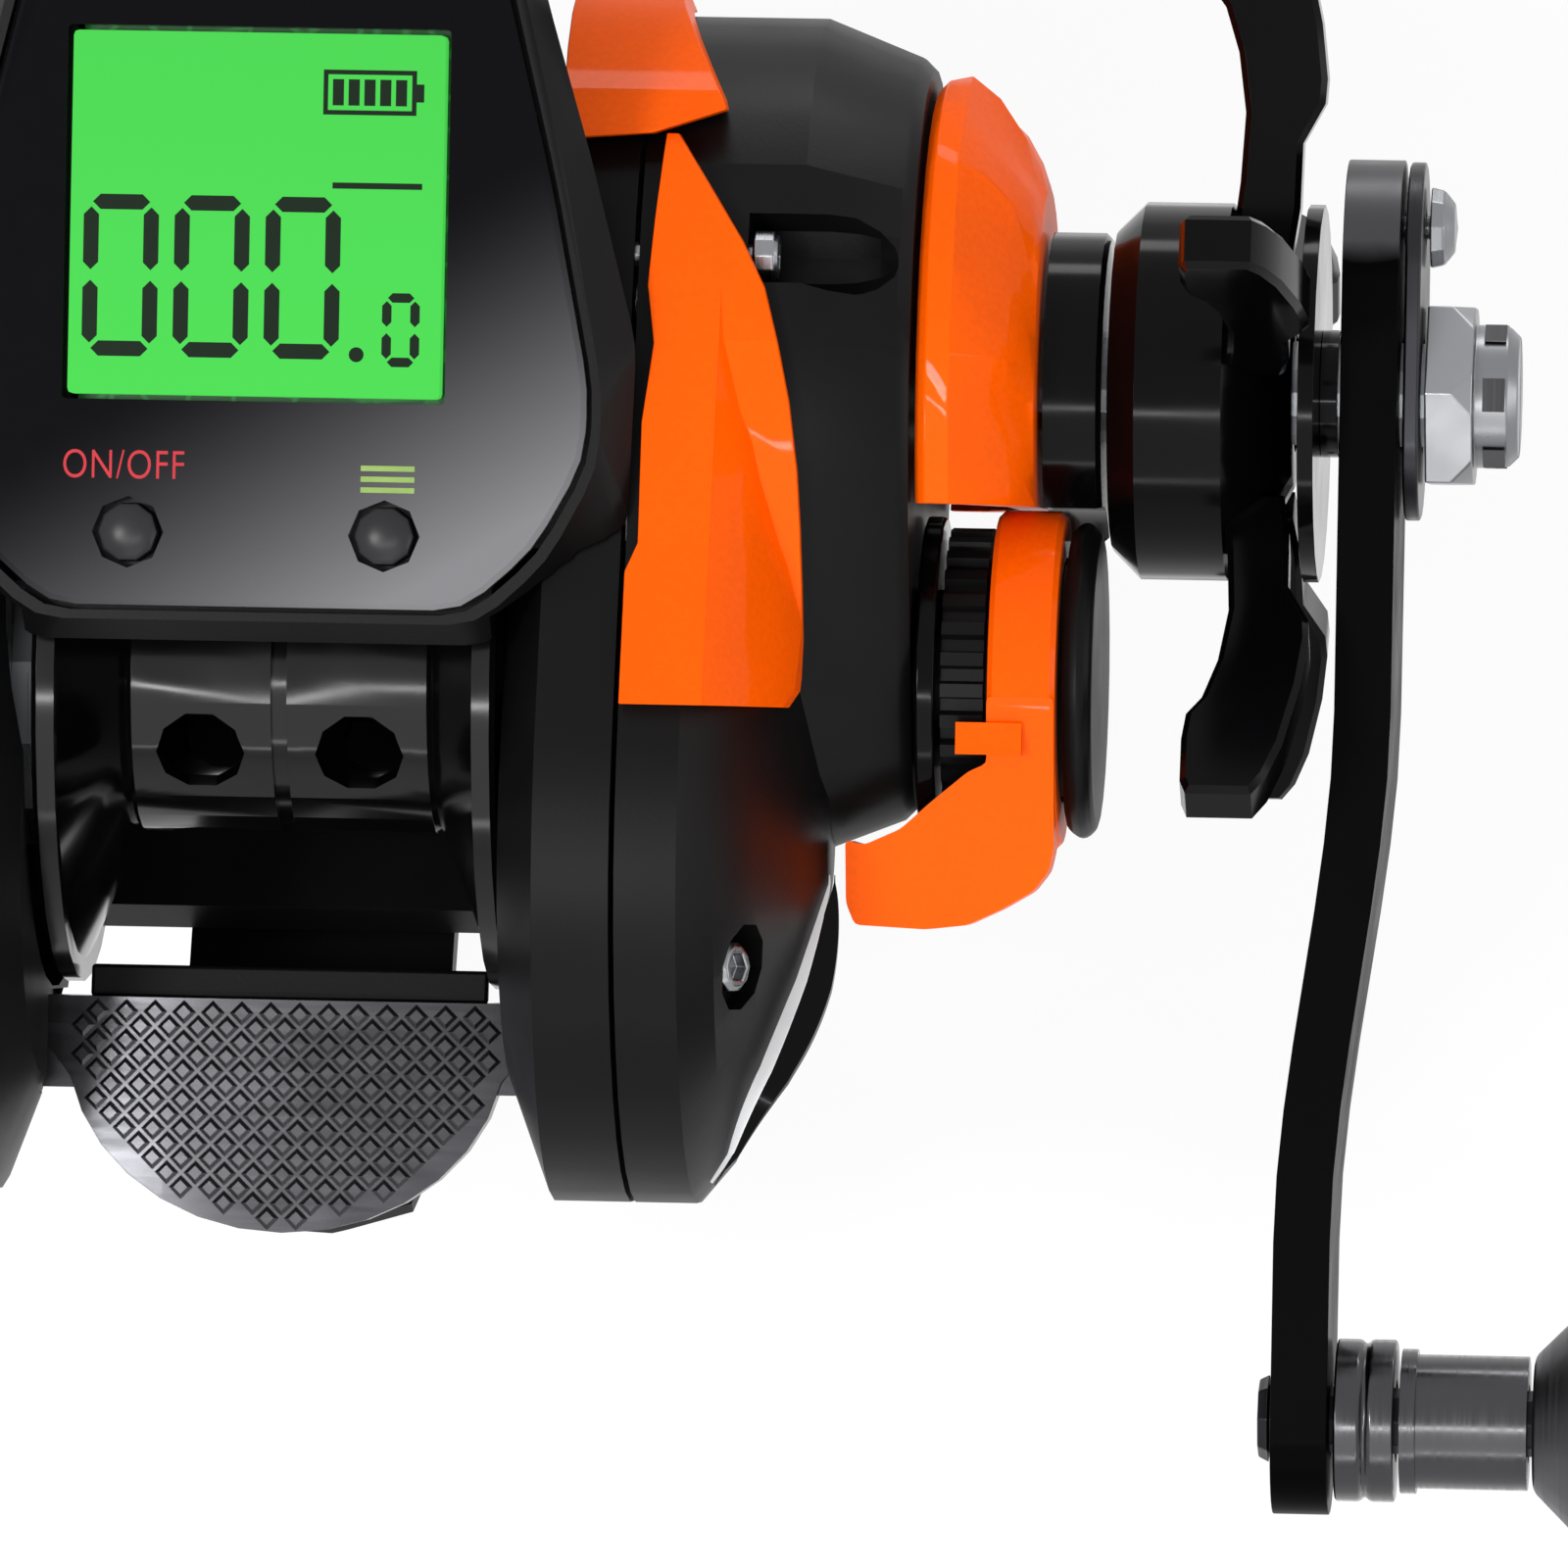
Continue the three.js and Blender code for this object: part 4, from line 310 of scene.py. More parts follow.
def capped_nut(name, pale, dark, edge):
    """Bright ground nut, and the darker plug that locks it, which begins at an edge on the cross axis."""
    look = Finish(name)
    cloud = look.noise(300, 2)
    plug = look.ramp(look.along("X"), 0, 1, edge, edge + 0.1 * MM)
    look.shine(
        Base_Color=look.blend(plug, pale, dark), Roughness=look.ramp(cloud, 0.26, 0.36, 0.3, 0.7),
        Metallic=1.0)
    return look.bump(look.noise(3000, 1, (1, 0.1, 0.1)), 0.004 * MM, 0.5).material


def flat_ink(name, colour):
    """Printed ink, a little uneven and nearly without shine."""
    look = Finish(name)
    cloud = look.noise(700, 2)
    look.shine(
        Base_Color=look.blend(look.ramp(cloud, 0, 1, 0.3, 0.7), tinted(colour, 0.92), tinted(colour, 1.08)),
        Roughness=0.45, IOR=1.15)
    return look.material


def lit_screen(name, colour):
    """A backlit panel: even light, a little brighter towards its lower edge."""
    look = Finish(name)
    lower_edge, upper_edge = deck_point(0, 15, DECK_TOP).y, deck_point(0, 35, DECK_TOP).y
    low = look.ramp(look.along("Y"), 1, 0, lower_edge, upper_edge)
    glow = look.blend(low, tinted(colour, 0.97), tinted(colour, 1.06))
    look.shine(
        Base_Color=tinted(colour, 0.12), Roughness=0.4, IOR=1.1, Emission_Color=glow, Emission_Strength=0.85)
    return look.material


def woven_liner(name):
    """Friction cloth in small dark and grey squares."""
    look = Finish(name)
    weave = look.node("ShaderNodeTexChecker", {}, {"Vector": look.place(), "Scale": 900.0})
    mask = Signal(look, weave.outputs["Fac"])
    look.shine(Base_Color=look.blend(mask, paint(26, 26, 27), paint(62, 62, 64)), Roughness=0.6)
    return look.bump(mask, 0.03 * MM, 0.6).material


def knurled_metal(name):
    """Grey cast metal, brushed across the bar."""
    look = Finish(name)
    brushed = look.noise(1500, 2, (0.12, 1, 1))
    cloud = look.noise(70, 2)
    look.shine(
        Base_Color=look.blend(look.ramp(cloud, 0, 1, 0.35, 0.65), paint(52, 52, 54), paint(68, 68, 71)),
        Roughness=look.ramp(brushed, 0.2, 0.3, 0.3, 0.7), Metallic=0.85, IOR=1.2)
    return look.bump(brushed, 0.008 * MM, 0.5).material


def circuit(name):
    """Green board with paler tracks."""
    look = Finish(name)
    cells = look.node("ShaderNodeTexVoronoi", {"feature": "DISTANCE_TO_EDGE"}, {
        "Vector": look.place(), "Scale": 420.0})
    track = look.ramp(Signal(look, cells.outputs["Distance"]), 1, 0, 0.02, 0.08)
    look.shine(Base_Color=look.blend(track, paint(26, 92, 50), paint(64, 140, 84)), Roughness=0.4)
    return look.material


def make_looks(colours):
    """Every finish by its name."""
    # Where the painted highlight on the arm's upper end begins.
    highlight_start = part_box("handle_arm")[1].y - 8.8 * MM
    plug_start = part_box("handle_nut")[1].x - 2.6 * MM
    return {
        "body": plastic("Satin black", colours.body, 0.4, 3800, 0.012 * MM, index=1.2),
        "gloss": plastic("Piano black", paint(4, 4, 5), 0.12, 900, 0.001 * MM, index=1.18),
        # The counter face carries a painted reflection, grey towards its lower right corner.
        "face": faded_panel("Counter face", paint(9, 9, 12), paint(120, 120, 123)),
        "button": plastic("Button rubber", paint(38, 38, 40), 0.34, 1400, 0.003 * MM),
        "arm": bare_tipped(
            "Coated arm", paint(2, 2, 2), paint(72, 72, 74), highlight_start, highlight_start + 1.2 * MM),
        "orange": lacquer("Orange lacquer", colours.trim),
        "spool": plastic("Spool lacquer", paint(6, 6, 7), 0.14, 1600, 0.001 * MM, index=1.34),
        "bar": knurled_metal("Thumb bar metal"),
        "dark_metal": turned_metal("Dark anodised", paint(48, 48, 51), 0.34),
        "gunmetal": turned_metal("Gunmetal", paint(74, 74, 76), 0.2),
        "bright": turned_metal("Polished metal", paint(138, 139, 142), 0.28),
        "nut": capped_nut("Nut and cap", paint(146, 147, 150), paint(128, 129, 132), plug_start),
        "cone": turned_metal("Satin cone", paint(84, 84, 87), 0.4),
        "steel": turned_metal("Ground steel", paint(168, 170, 174), 0.3),
        "brass": turned_metal("Brass", paint(206, 170, 92), 0.3),
        # White for the strip along the dome's lower edge: a painted highlight of a glossy chamfer.
        "painted_highlight_edge": plastic("Painted highlight edge", paint(238, 238, 240), 0.2, 900, 0.001 * MM),
        "ceramic": plastic("Glazed ring", paint(222, 226, 230), 0.12, 900, 0.001 * MM, coat=0.4),
        "screen": lit_screen("Lit display", colours.display),
        "circuit": circuit("Circuit board"),
        "liner": woven_liner("Friction liner"),
        "ink": flat_ink("Display segments", colours.ink),
        "switch_label": flat_ink("Switch label", colours.switch_label),
        "menu_label": flat_ink("Menu mark", colours.menu_label),
        "dial_label": flat_ink("Dial numbers", paint(226, 228, 230)),
    }


LOOKS = {}
SMOOTH_ANGLE = 32


# Mesh building


def new_object(name, data):
    thing = bpy.data.objects.new(name, data)
    bpy.context.scene.collection.objects.link(thing)
    return thing


def body_of(node):
    bodies = frame["record"]["behaviour"]["bodies"]
    return next(body for body, nodes in bodies.items() if node in nodes)


def dress(node, look, edge, smooth=SMOOTH_ANGLE, segments=2):
    """A copy of a solid with welded faces, rounded edges and smooth curves, shown in the solid's place."""
    mesh = frame["nodes"][node].data.copy()
    shape = bmesh.new()
    shape.from_mesh(mesh)
    bmesh.ops.remove_doubles(shape, verts=shape.verts, dist=0.002 * MM)
    bmesh.ops.dissolve_limit(
        shape, angle_limit=math.radians(0.4), verts=shape.verts, edges=shape.edges, delimit={"NORMAL"})
    for face in shape.faces:
        face.smooth = True
    shape.to_mesh(mesh)
    shape.free()
    mesh.set_sharp_from_angle(angle=math.radians(smooth))
    mesh.materials.clear()
    mesh.materials.append(LOOKS[look])
    for polygon in mesh.polygons:
        polygon.material_index = 0
    skin = new_object(f"{node}_skin", mesh)
    if edge:
        rounding = skin.modifiers.new("Rounded edges", "BEVEL")
        rounding.width = edge * MM
        rounding.segments = segments
        rounding.limit_method = "ANGLE"
        rounding.angle_limit = math.radians(smooth)
        rounding.harden_normals = True
    shading = skin.modifiers.new("Even shading", "WEIGHTED_NORMAL")
    shading.keep_sharp = True
    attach(skin, body_of(node))
    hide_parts(node)


def coat(node, look):
    """A better material on a solid that is shown as it is."""
    mesh = frame["nodes"][node].data
    for index in range(len(mesh.materials)):
        mesh.materials[index] = LOOKS[look]


def flat_piece(name, outlines, matrix, look, body, thickness=0.02):
    """Thin raised marks from outlines in millimetres, joined in one piece."""
    shape = bmesh.new()
    for outline in outlines:
        face = shape.faces.new([shape.verts.new((x * MM, y * MM, 0)) for x, y in outline])
        raised = bmesh.ops.extrude_face_region(shape, geom=[face])
        tops = [item for item in raised["geom"] if isinstance(item, bmesh.types.BMVert)]
        bmesh.ops.translate(shape, verts=tops, vec=(0, 0, thickness * MM))
    bmesh.ops.recalc_face_normals(shape, faces=shape.faces)
    shape.transform(matrix)
    mesh = bpy.data.meshes.new(name)
    shape.to_mesh(mesh)
    shape.free()
    mesh.materials.append(LOOKS[look])
    mark = new_object(name, mesh)
    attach(mark, body)


def lettering(name, words, size, matrix, look, body, spacing=1.0, weight=0.0, squeeze=1.0):
    """Words as thin raised letters, centred on their place."""
    curve = bpy.data.curves.new(name, "FONT")
    curve.body = words
    curve.size = size * MM
    curve.align_x = "CENTER"
    curve.align_y = "CENTER"
    curve.space_character = spacing
    curve.offset = weight * MM
    curve.extrude = 0.01 * MM
    text = new_object(f"{name}_curve", curve)
    bpy.context.view_layer.update()
    mesh = bpy.data.meshes.new_from_object(text.evaluated_get(bpy.context.evaluated_depsgraph_get()))
    bpy.data.objects.remove(text)
    mesh.transform(matrix @ Matrix.Diagonal((squeeze, 1, 1, 1)))
    mesh.materials.clear()
    mesh.materials.append(LOOKS[look])
    mark = new_object(name, mesh)
    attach(mark, body)


def swept_strip(name, sections, look, body, edge):
    """A closed bar through sections of four points each, in metres, with rounded edges."""
    shape = bmesh.new()
    rings = [[shape.verts.new(spot) for spot in section] for section in sections]
    for first, second in zip(rings, rings[1:]):
        for k in range(4):
            shape.faces.new((first[k], first[(k + 1) % 4], second[(k + 1) % 4], second[k]))
    shape.faces.new(rings[0][::-1])
    shape.faces.new(rings[-1])
    bmesh.ops.recalc_face_normals(shape, faces=shape.faces)
    for face in shape.faces:
        face.smooth = True
    mesh = bpy.data.meshes.new(name)
    shape.to_mesh(mesh)
    shape.free()
    mesh.set_sharp_from_angle(angle=math.radians(SMOOTH_ANGLE))
    mesh.materials.append(LOOKS[look])
    strip = new_object(name, mesh)
    rounding = strip.modifiers.new("Rounded edges", "BEVEL")
    rounding.width = edge * MM
    rounding.segments = 2
    rounding.angle_limit = math.radians(SMOOTH_ANGLE)
    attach(strip, body)


def rectangle(left, bottom, width, height):
    return [(left, bottom), (left + width, bottom), (left + width, bottom + height), (left, bottom + height)]


def segment_bars(left, bottom, width, height, stroke, lit):
    """The bars of one seven-segment digit, each with pointed ends."""
    half = height / 2
    tip = stroke / 2
    gap = stroke * 0.09

    def flat(y):
        x0, x1 = left + tip + gap, left + width - tip - gap
        inner0, inner1 = x0 + tip, x1 - tip
        return [(x0, y), (inner0, y - tip), (inner1, y - tip), (x1, y), (inner1, y + tip), (inner0, y + tip)]

    def upright(x, y):
        y0, y1 = y + tip + gap, y + half - tip - gap
        inner0, inner1 = y0 + tip, y1 - tip
        return [(x, y0), (x + tip, inner0), (x + tip, inner1), (x, y1), (x - tip, inner1), (x - tip, inner0)]

    x0, x1 = left + tip, left + width - tip
    y0 = bottom + tip
    rise = half - tip
    bars = {
        "low": flat(y0), "middle": flat(bottom + half), "high": flat(bottom + height - tip),
        "low_left": upright(x0, bottom + tip * 0.5), "low_right": upright(x1, bottom + tip * 0.5),
        "high_left": upright(x0, y0 + rise - tip * 0.5), "high_right": upright(x1, y0 + rise - tip * 0.5),
    }
    return [bars[name] for name in lit]


ZERO = ("low", "high", "low_left", "low_right", "high_left", "high_right")


# Geometry node building


class Pattern:
    """One geometry node tree with named inputs, and a short way to add nodes to it."""

    def __init__(self, name, sizes):
        self.tree = bpy.data.node_groups.new(name, "GeometryNodeTree")
        self.tree.interface.new_socket("Geometry", in_out="INPUT", socket_type="NodeSocketGeometry")
        for label in sizes:
            self.tree.interface.new_socket(label, in_out="INPUT", socket_type="NodeSocketFloat")
        self.tree.interface.new_socket("Geometry", in_out="OUTPUT", socket_type="NodeSocketGeometry")
        self.inputs = self.tree.nodes.new("NodeGroupInput")
        self.output = self.tree.nodes.new("NodeGroupOutput")

    def size(self, label):
        return self.inputs.outputs[label]

    def node(self, kind, settings=None, inputs=None):
        made = self.tree.nodes.new(kind)
        for key, value in (settings or {}).items():
            setattr(made, key, value)
        for key, value in (inputs or {}).items():
            if isinstance(value, bpy.types.NodeSocket):
                self.tree.links.new(value, made.inputs[key])
            else:
                made.inputs[key].default_value = value
        return made

    def math(self, operation, first, second):
        return self.node("ShaderNodeMath", {"operation": operation}, {0: first, 1: second}).outputs[0]

    def finish(self, geometry, look):
        real = self.node("GeometryNodeRealizeInstances", {}, {"Geometry": geometry})
        dressed = self.node("GeometryNodeSetMaterial", {}, {
            "Geometry": real.outputs[0], "Material": LOOKS[look]})
        self.tree.links.new(dressed.outputs[0], self.output.inputs[0])

    def piece(self, name, body, slot, values):
        """The pattern's mesh as a plain object that rides on a body."""
        host = new_object(f"{name}_host", bpy.data.meshes.new(f"{name}_host"))
        modifier = host.modifiers.new(name, "NODES")
        modifier.node_group = self.tree
        for item in self.tree.interface.items_tree:
            if item.in_out == "INPUT" and item.name in values:
                modifier[item.identifier] = values[item.name]
        bpy.context.view_layer.update()
        mesh = bpy.data.meshes.new_from_object(host.evaluated_get(bpy.context.evaluated_depsgraph_get()))
        host.modifiers.clear()
        bpy.data.objects.remove(host)
        made = new_object(name, mesh)
        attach(made, body)


def knurl_pattern():
    """Rows of small diamonds over a half round bar, every second row moved by half a step."""
    made = Pattern("Knurl", ("Pitch", "Height", "Half width", "Length", "Shoulder"))
    pitch = made.size("Pitch")
    steps_across, steps_down = 18, 10
    layers = []
    for shift in (0.0, 0.5):
        grid = made.node("GeometryNodeMeshGrid", {}, {
            "Vertices X": steps_across + 1, "Vertices Y": steps_down + 1,
            "Size X": made.math("MULTIPLY", pitch, steps_across),
            "Size Y": made.math("MULTIPLY", pitch, steps_down)})
        move = made.node("ShaderNodeCombineXYZ", {}, {
            "X": made.math("MULTIPLY", pitch, shift),
            "Y": made.math("MULTIPLY", pitch, shift - steps_down / 2)})
        layers.append(made.node("GeometryNodeTransform", {}, {
            "Geometry": grid.outputs["Mesh"], "Translation": move.outputs[0]}).outputs[0])
    grids = made.node("GeometryNodeJoinGeometry")
    for layer in layers:
        made.tree.links.new(layer, grids.inputs[0])
    place = made.node("GeometryNodeInputPosition")
    parts = made.node("ShaderNodeSeparateXYZ", {}, {"Vector": place.outputs[0]})
    across = made.math("DIVIDE", parts.outputs["X"], made.size("Half width"))
    past_shoulder = made.math("ADD", parts.outputs["Y"], made.size("Shoulder"))
    below = made.math("MINIMUM", made.math("DIVIDE", past_shoulder, made.size("Length")), 0.0)
    reach = made.math("ADD", made.math("POWER", across, 2.0), made.math("POWER", below, 2.0))
    outside = made.math("GREATER_THAN", reach, 1.0)
    above = made.math("GREATER_THAN", parts.outputs["Y"], made.math("MULTIPLY", pitch, -0.45))
    unwanted = made.math("MAXIMUM", outside, above)
    kept = made.node("GeometryNodeDeleteGeometry", {"domain": "POINT"}, {
        "Geometry": grids.outputs[0], "Selection": unwanted})
    sag = made.math("MULTIPLY", made.math("POWER", parts.outputs["X"], 2.0), -0.5 / (BAR_BOW * MM))
    lowered = made.node("ShaderNodeCombineXYZ", {}, {"Z": sag})
    bent = made.node("GeometryNodeSetPosition", {}, {
        "Geometry": kept.outputs[0], "Offset": lowered.outputs[0]})
    stud = made.node("GeometryNodeMeshCone", {}, {
        "Vertices": 4, "Side Segments": 1, "Depth": made.size("Height"),
        "Radius Top": made.math("MULTIPLY", pitch, 0.24),
        "Radius Bottom": made.math("MULTIPLY", pitch, 0.42)})
    outward = made.node("ShaderNodeCombineXYZ", {}, {
        "X": made.math("DIVIDE", parts.outputs["X"], BAR_BOW * MM), "Z": 1.0})
    lean = made.node("FunctionNodeAlignRotationToVector", {"axis": "Z"}, {"Vector": outward.outputs[0]})
    studs = made.node("GeometryNodeInstanceOnPoints", {}, {
        "Points": bent.outputs[0], "Instance": stud.outputs["Mesh"], "Rotation": lean.outputs[0]})
    spot = deck_point(0, BAR_SHOULDER_ALONG, BAR_TOP)
    placed = made.node("GeometryNodeTransform", {}, {
        "Geometry": studs.outputs[0], "Translation": spot, "Rotation": (DECK_TILT, 0, 0)})
    made.finish(placed.outputs[0], "bar")
    return made


# Operators


class ReelOperator:
    bl_options = {"REGISTER", "UNDO"}

    def dress_all(self, nodes, look, **settings):
        for node in nodes:
            dress(node, look, **settings)


class REEL_OT_finishes(bpy.types.Operator, ReelOperator):
    """Make every finish and put it on the solids that stay as they are"""

    bl_idname = "reel.finishes"
    bl_label = "Finishes"

    def execute(self, context):
        LOOKS.update(make_looks(context.scene.reel_colours))
        looks = {
            "steel": (
                "battery", "spool_shaft", "brake_rotor", "spool_bearing_right", "spool_bearing_left",
                "magnet_holder", "drive_shaft", "pressure_plate", "drive_bearing", "one_way_clutch",
                "guide_pawl", "guide_rail"),
            "brass": ("pinion", "main_gear", "worm_bush_right", "worm_bush_left"),
            "liner": ("clutch_yoke", "drag_washer"),
            "ceramic": ("guide_drive_gear", "guide_gear"),
            "circuit": ("counter_board",),
        }
        for look, nodes in looks.items():
            for node in nodes:
                coat(node, look)
        return {"FINISHED"}


class REEL_OT_shell(bpy.types.Operator, ReelOperator):
    """Frame, side covers and their screws"""

    bl_idname = "reel.shell"
    bl_label = "Shell"

    def execute(self, context):
        self.dress_all(("frame", "gear_side_cover", "palm_side_cover"), "body", edge=0.25)
        self.dress_all(("cover_screw_top", "cover_screw_rear"), "bright", edge=0.12)
        panels = ("gear_side_trim", "palm_side_trim", "gear_side_shoulder", "palm_side_shoulder")
        self.dress_all(panels, "orange", edge=0.3)
        # The white strip along the dome's edge is a painted highlight of a glossy chamfer; the black crescent
        # beside it is a real surface.
        self.add_rim("cover_rim_painted_highlight", "painted_highlight_edge", -0.3, lambda share: 0.6 + 0.7 * share ** 3)
        self.add_rim("cover_rim", "gloss", 0.3, lambda share: 2.1)
        return {"FINISHED"}

    def rim_line(self, share):
        """A point of the dome's outline as the photograph shows it, in millimetres, from its top down."""
        start_along, length = -19.6, 16.5
        top, bend_start, bend_length, fall = 25.5, -30.0, 6.1, 5.7
        y = start_along - length * share
        return y, top - fall * max(0.0, (bend_start - y) / bend_length) ** 3

    def add_rim(self, name, look, start, reach, steps=36):
        """Part of the crescent under the gear side's dome, or the painted highlight along it: start and reach
        are millimetres from the dome.
        """
        solid = frame["nodes"]["gear_side_cover"].data
        points = [corner.co for corner in solid.vertices]
        cover = BVHTree.FromPolygons(points, [face.vertices for face in solid.polygons])
        outside = 60
        sections = []
        for k in range(steps + 1):
            share = k / steps
            y, z = self.rim_line(share)
            spot, normal = cover.ray_cast(Vector((outside, y, z)) * MM, Vector((-1, 0, 0)))[:2]
            out = Vector((normal.x, normal.y, 0)).normalized()
            swell = math.sin(math.pi * min(0.985, max(0.015, share))) ** 0.7
            near = spot + out * (start * MM)
            far = spot + out * (max(reach(share) * swell, start + 0.05) * MM)
            drop = Vector((0, 0, -0.9 * swell * MM))
            lean = drop * (0.35 if start > 0 else 0.0)
            sections.append((near, far + lean, far + drop, near + drop))
        swept_strip(name, sections, look, "frame_body", edge=0.06)


class REEL_OT_counter(bpy.types.Operator, ReelOperator):
    """Counter housing, fascia, buttons and hatch"""

    bl_idname = "reel.counter"
    bl_label = "Counter"

    def execute(self, context):
        self.dress_all(("counter_housing", "battery_hatch"), "body", edge=0.2)
        self.dress_all(("fascia",), "face", edge=0.12)
        self.dress_all(("power_button", "set_button"), "button", edge=0.08)
        self.dress_all(("lcd_screen",), "screen", edge=0.05)
        return {"FINISHED"}


class REEL_OT_display(bpy.types.Operator, ReelOperator):
    """Digits, decimal point and battery sign on the display"""

    bl_idname = "reel.display"
    bl_label = "Display"

    def execute(self, context):
        sizes = context.scene.reel_display
        width, height, stroke = sizes.digit_width / MM, sizes.digit_height / MM, sizes.stroke / MM
        first_left, digit_low, digit_gap = 0.75, 2.1, 0.88
        marks = []
        for place in range(3):
            left = first_left + place * (width + digit_gap)
            marks += segment_bars(left, digit_low, width, height, stroke, ZERO)
        marks += segment_bars(17.5, 1.75, 2.1, 4.1, stroke * 0.62, ZERO)
        marks.append(self.point_outline(16.1, 2.4, 0.42))
        marks += self.battery_sign(14.0, 15.7, 5.2, 2.5, 0.26)
        marks.append(rectangle(14.6, 11.6, 5.0, 0.34))
        corner = deck_matrix(-10.7, 14.8, DISPLAY_TOP)
        flat_piece("display_marks", marks, corner, "ink", "frame_body")
        return {"FINISHED"}

    def point_outline(self, x, y, radius, count=16):
        """The decimal point, a small disc."""
        angles = [2 * math.pi * k / count for k in range(count)]
        return [(x + radius * math.cos(angle), y + radius * math.sin(angle)) for angle in angles]

    def battery_sign(self, left, low, wide, high, line):
        """Outlines of a full battery: a frame, its contact and five bars."""
        right, top, upright = left + wide, low + high, high - 2 * line
        bars = [rectangle(left + 0.52 + k * 0.88, low + 0.52, 0.62, high - 1.04) for k in range(5)]
        return [
            rectangle(left, low, wide, line), rectangle(left, top - line, wide, line),
            rectangle(left, low + line, line, upright), rectangle(right - line, low + line, line, upright),
            rectangle(right, low + high * 0.3, 0.42, high * 0.4),
        ] + bars


class REEL_OT_labels(bpy.types.Operator, ReelOperator):
    """Switch lettering and the mark by the second button"""

    bl_idname = "reel.labels"
    bl_label = "Labels"

    def execute(self, context):
        over_switch = deck_matrix(-7.45, 10.8, DECK_TOP)
        lettering("switch_label", "ON/OFF", 2.3, over_switch, "switch_label", "frame_body",
                  spacing=1.08, weight=-0.012, squeeze=0.78)
        over_button = deck_matrix(7.3, 10.3, DECK_TOP)
        bars = [rectangle(-1.5, -0.75 + k * 0.6, 3.0, 0.3) for k in range(3)]
        flat_piece("menu_mark", bars, over_button, "menu_label", "frame_body")
        return {"FINISHED"}


class REEL_OT_thumb_bar(bpy.types.Operator, ReelOperator):
    """Thumb bar with its diamond knurl"""

    bl_idname = "reel.thumb_bar"
    bl_label = "Thumb bar"

    def execute(self, context):
        dress("thumb_bar", "bar", edge=0.25)
        sizes = context.scene.reel_knurl
        half_width, length, shoulder = 12.5 * MM, 10.8 * MM, 2.4 * MM
        knurl_pattern().piece("thumb_bar_knurl", "thumb_bar_body", "dark_metal", {
            "Pitch": sizes.pitch, "Height": sizes.height, "Half width": half_width - sizes.margin,
            "Length": length - sizes.margin, "Shoulder": shoulder})
        half_lip = 11.3
        lip = ((-18.95, -0.5), (-18.95, 0.35), (-17.1, 0.1), (-17.1, -0.7))
        sections = [[deck_point(x, along, height) for along, height in lip] for x in (-half_lip, half_lip)]
        swept_strip("thumb_bar_lip", sections, "body", "thumb_bar_body", edge=0.2)
        return {"FINISHED"}


class REEL_OT_spool(bpy.types.Operator, ReelOperator):
    """Spool and level wind"""

    bl_idname = "reel.spool"
    bl_label = "Spool"

    def execute(self, context):
        dress("spool", "spool", edge=0.15)
        dress("worm_shaft", "steel", edge=0.05)
        dress("line_guide", "body", edge=0.2)
        dress("guide_insert", "ceramic", edge=0)
        return {"FINISHED"}


class REEL_OT_handle(bpy.types.Operator, ReelOperator):
    """Drag cup, star, crank arm and its nut"""

    bl_idname = "reel.handle"
    bl_label = "Handle"

    def execute(self, context):
        dress("drag_cup", "orange", edge=0.35, smooth=28, segments=3)
        self.dress_all(("drag_collar", "handle_washer"), "gloss", edge=0.2)
        dress("star_drag", "gloss", edge=0.25)
        dress("handle_arm", "arm", edge=0.3)
        dress("handle_retainer", "dark_metal", edge=0.15)
        dress("retainer_screw", "bright", edge=0.12)
        dress("handle_nut", "nut", edge=0.12)
        self.add_plug_flats()
        return {"FINISHED"}

    def add_plug_flats(self, count=6, first_angle=65, inset=1.35, radius=4.07, width=1.9, length=1.25):
        """Dark flats for a spanner, set round the plug that locks the nut."""
        low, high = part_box("handle_nut")
        centre = (low + high) / 2
        side = Vector((1, 0, 0))
        outline = rectangle(-length / 2, -width / 2, length, width)
        for k in range(count):
            angle = math.radians(first_angle + 360 * k / count)
            outward = Vector((0, -math.cos(angle), math.sin(angle)))
            spot = Vector((high.x - inset * MM, centre.y, centre.z)) + outward * (radius * MM)
            turned = Matrix((side, outward.cross(side), outward)).transposed().to_4x4()
            flat_piece(f"nut_flat_{k + 1}", [outline], Matrix.Translation(spot) @ turned, "gunmetal",
                       body_of("handle_nut"), thickness=0.06)


class REEL_OT_knob(bpy.types.Operator, ReelOperator):
    """Handle knob on its neck"""

    bl_idname = "reel.knob"
    bl_label = "Knob"

    def execute(self, context):
        self.dress_all(("knob_bush", "knob_neck", "knob_cap"), "gunmetal", edge=0.15)
        dress("knob_post", "dark_metal", edge=0.1)
        dress("knob_grip", "cone", edge=0.3)
        return {"FINISHED"}


class REEL_OT_cast_control(bpy.types.Operator, ReelOperator):
    """Cast control knob and the orange lever round it"""

    bl_idname = "reel.cast_control"
    bl_label = "Cast control"

    def execute(self, context):
        dress("cast_base", "gloss", edge=0.2)
        dress("cast_knob", "body", edge=0.12)
        dress("cast_cap", "body", edge=0.35)
        dress("clicker_lever", "orange", edge=0.3)
        return {"FINISHED"}


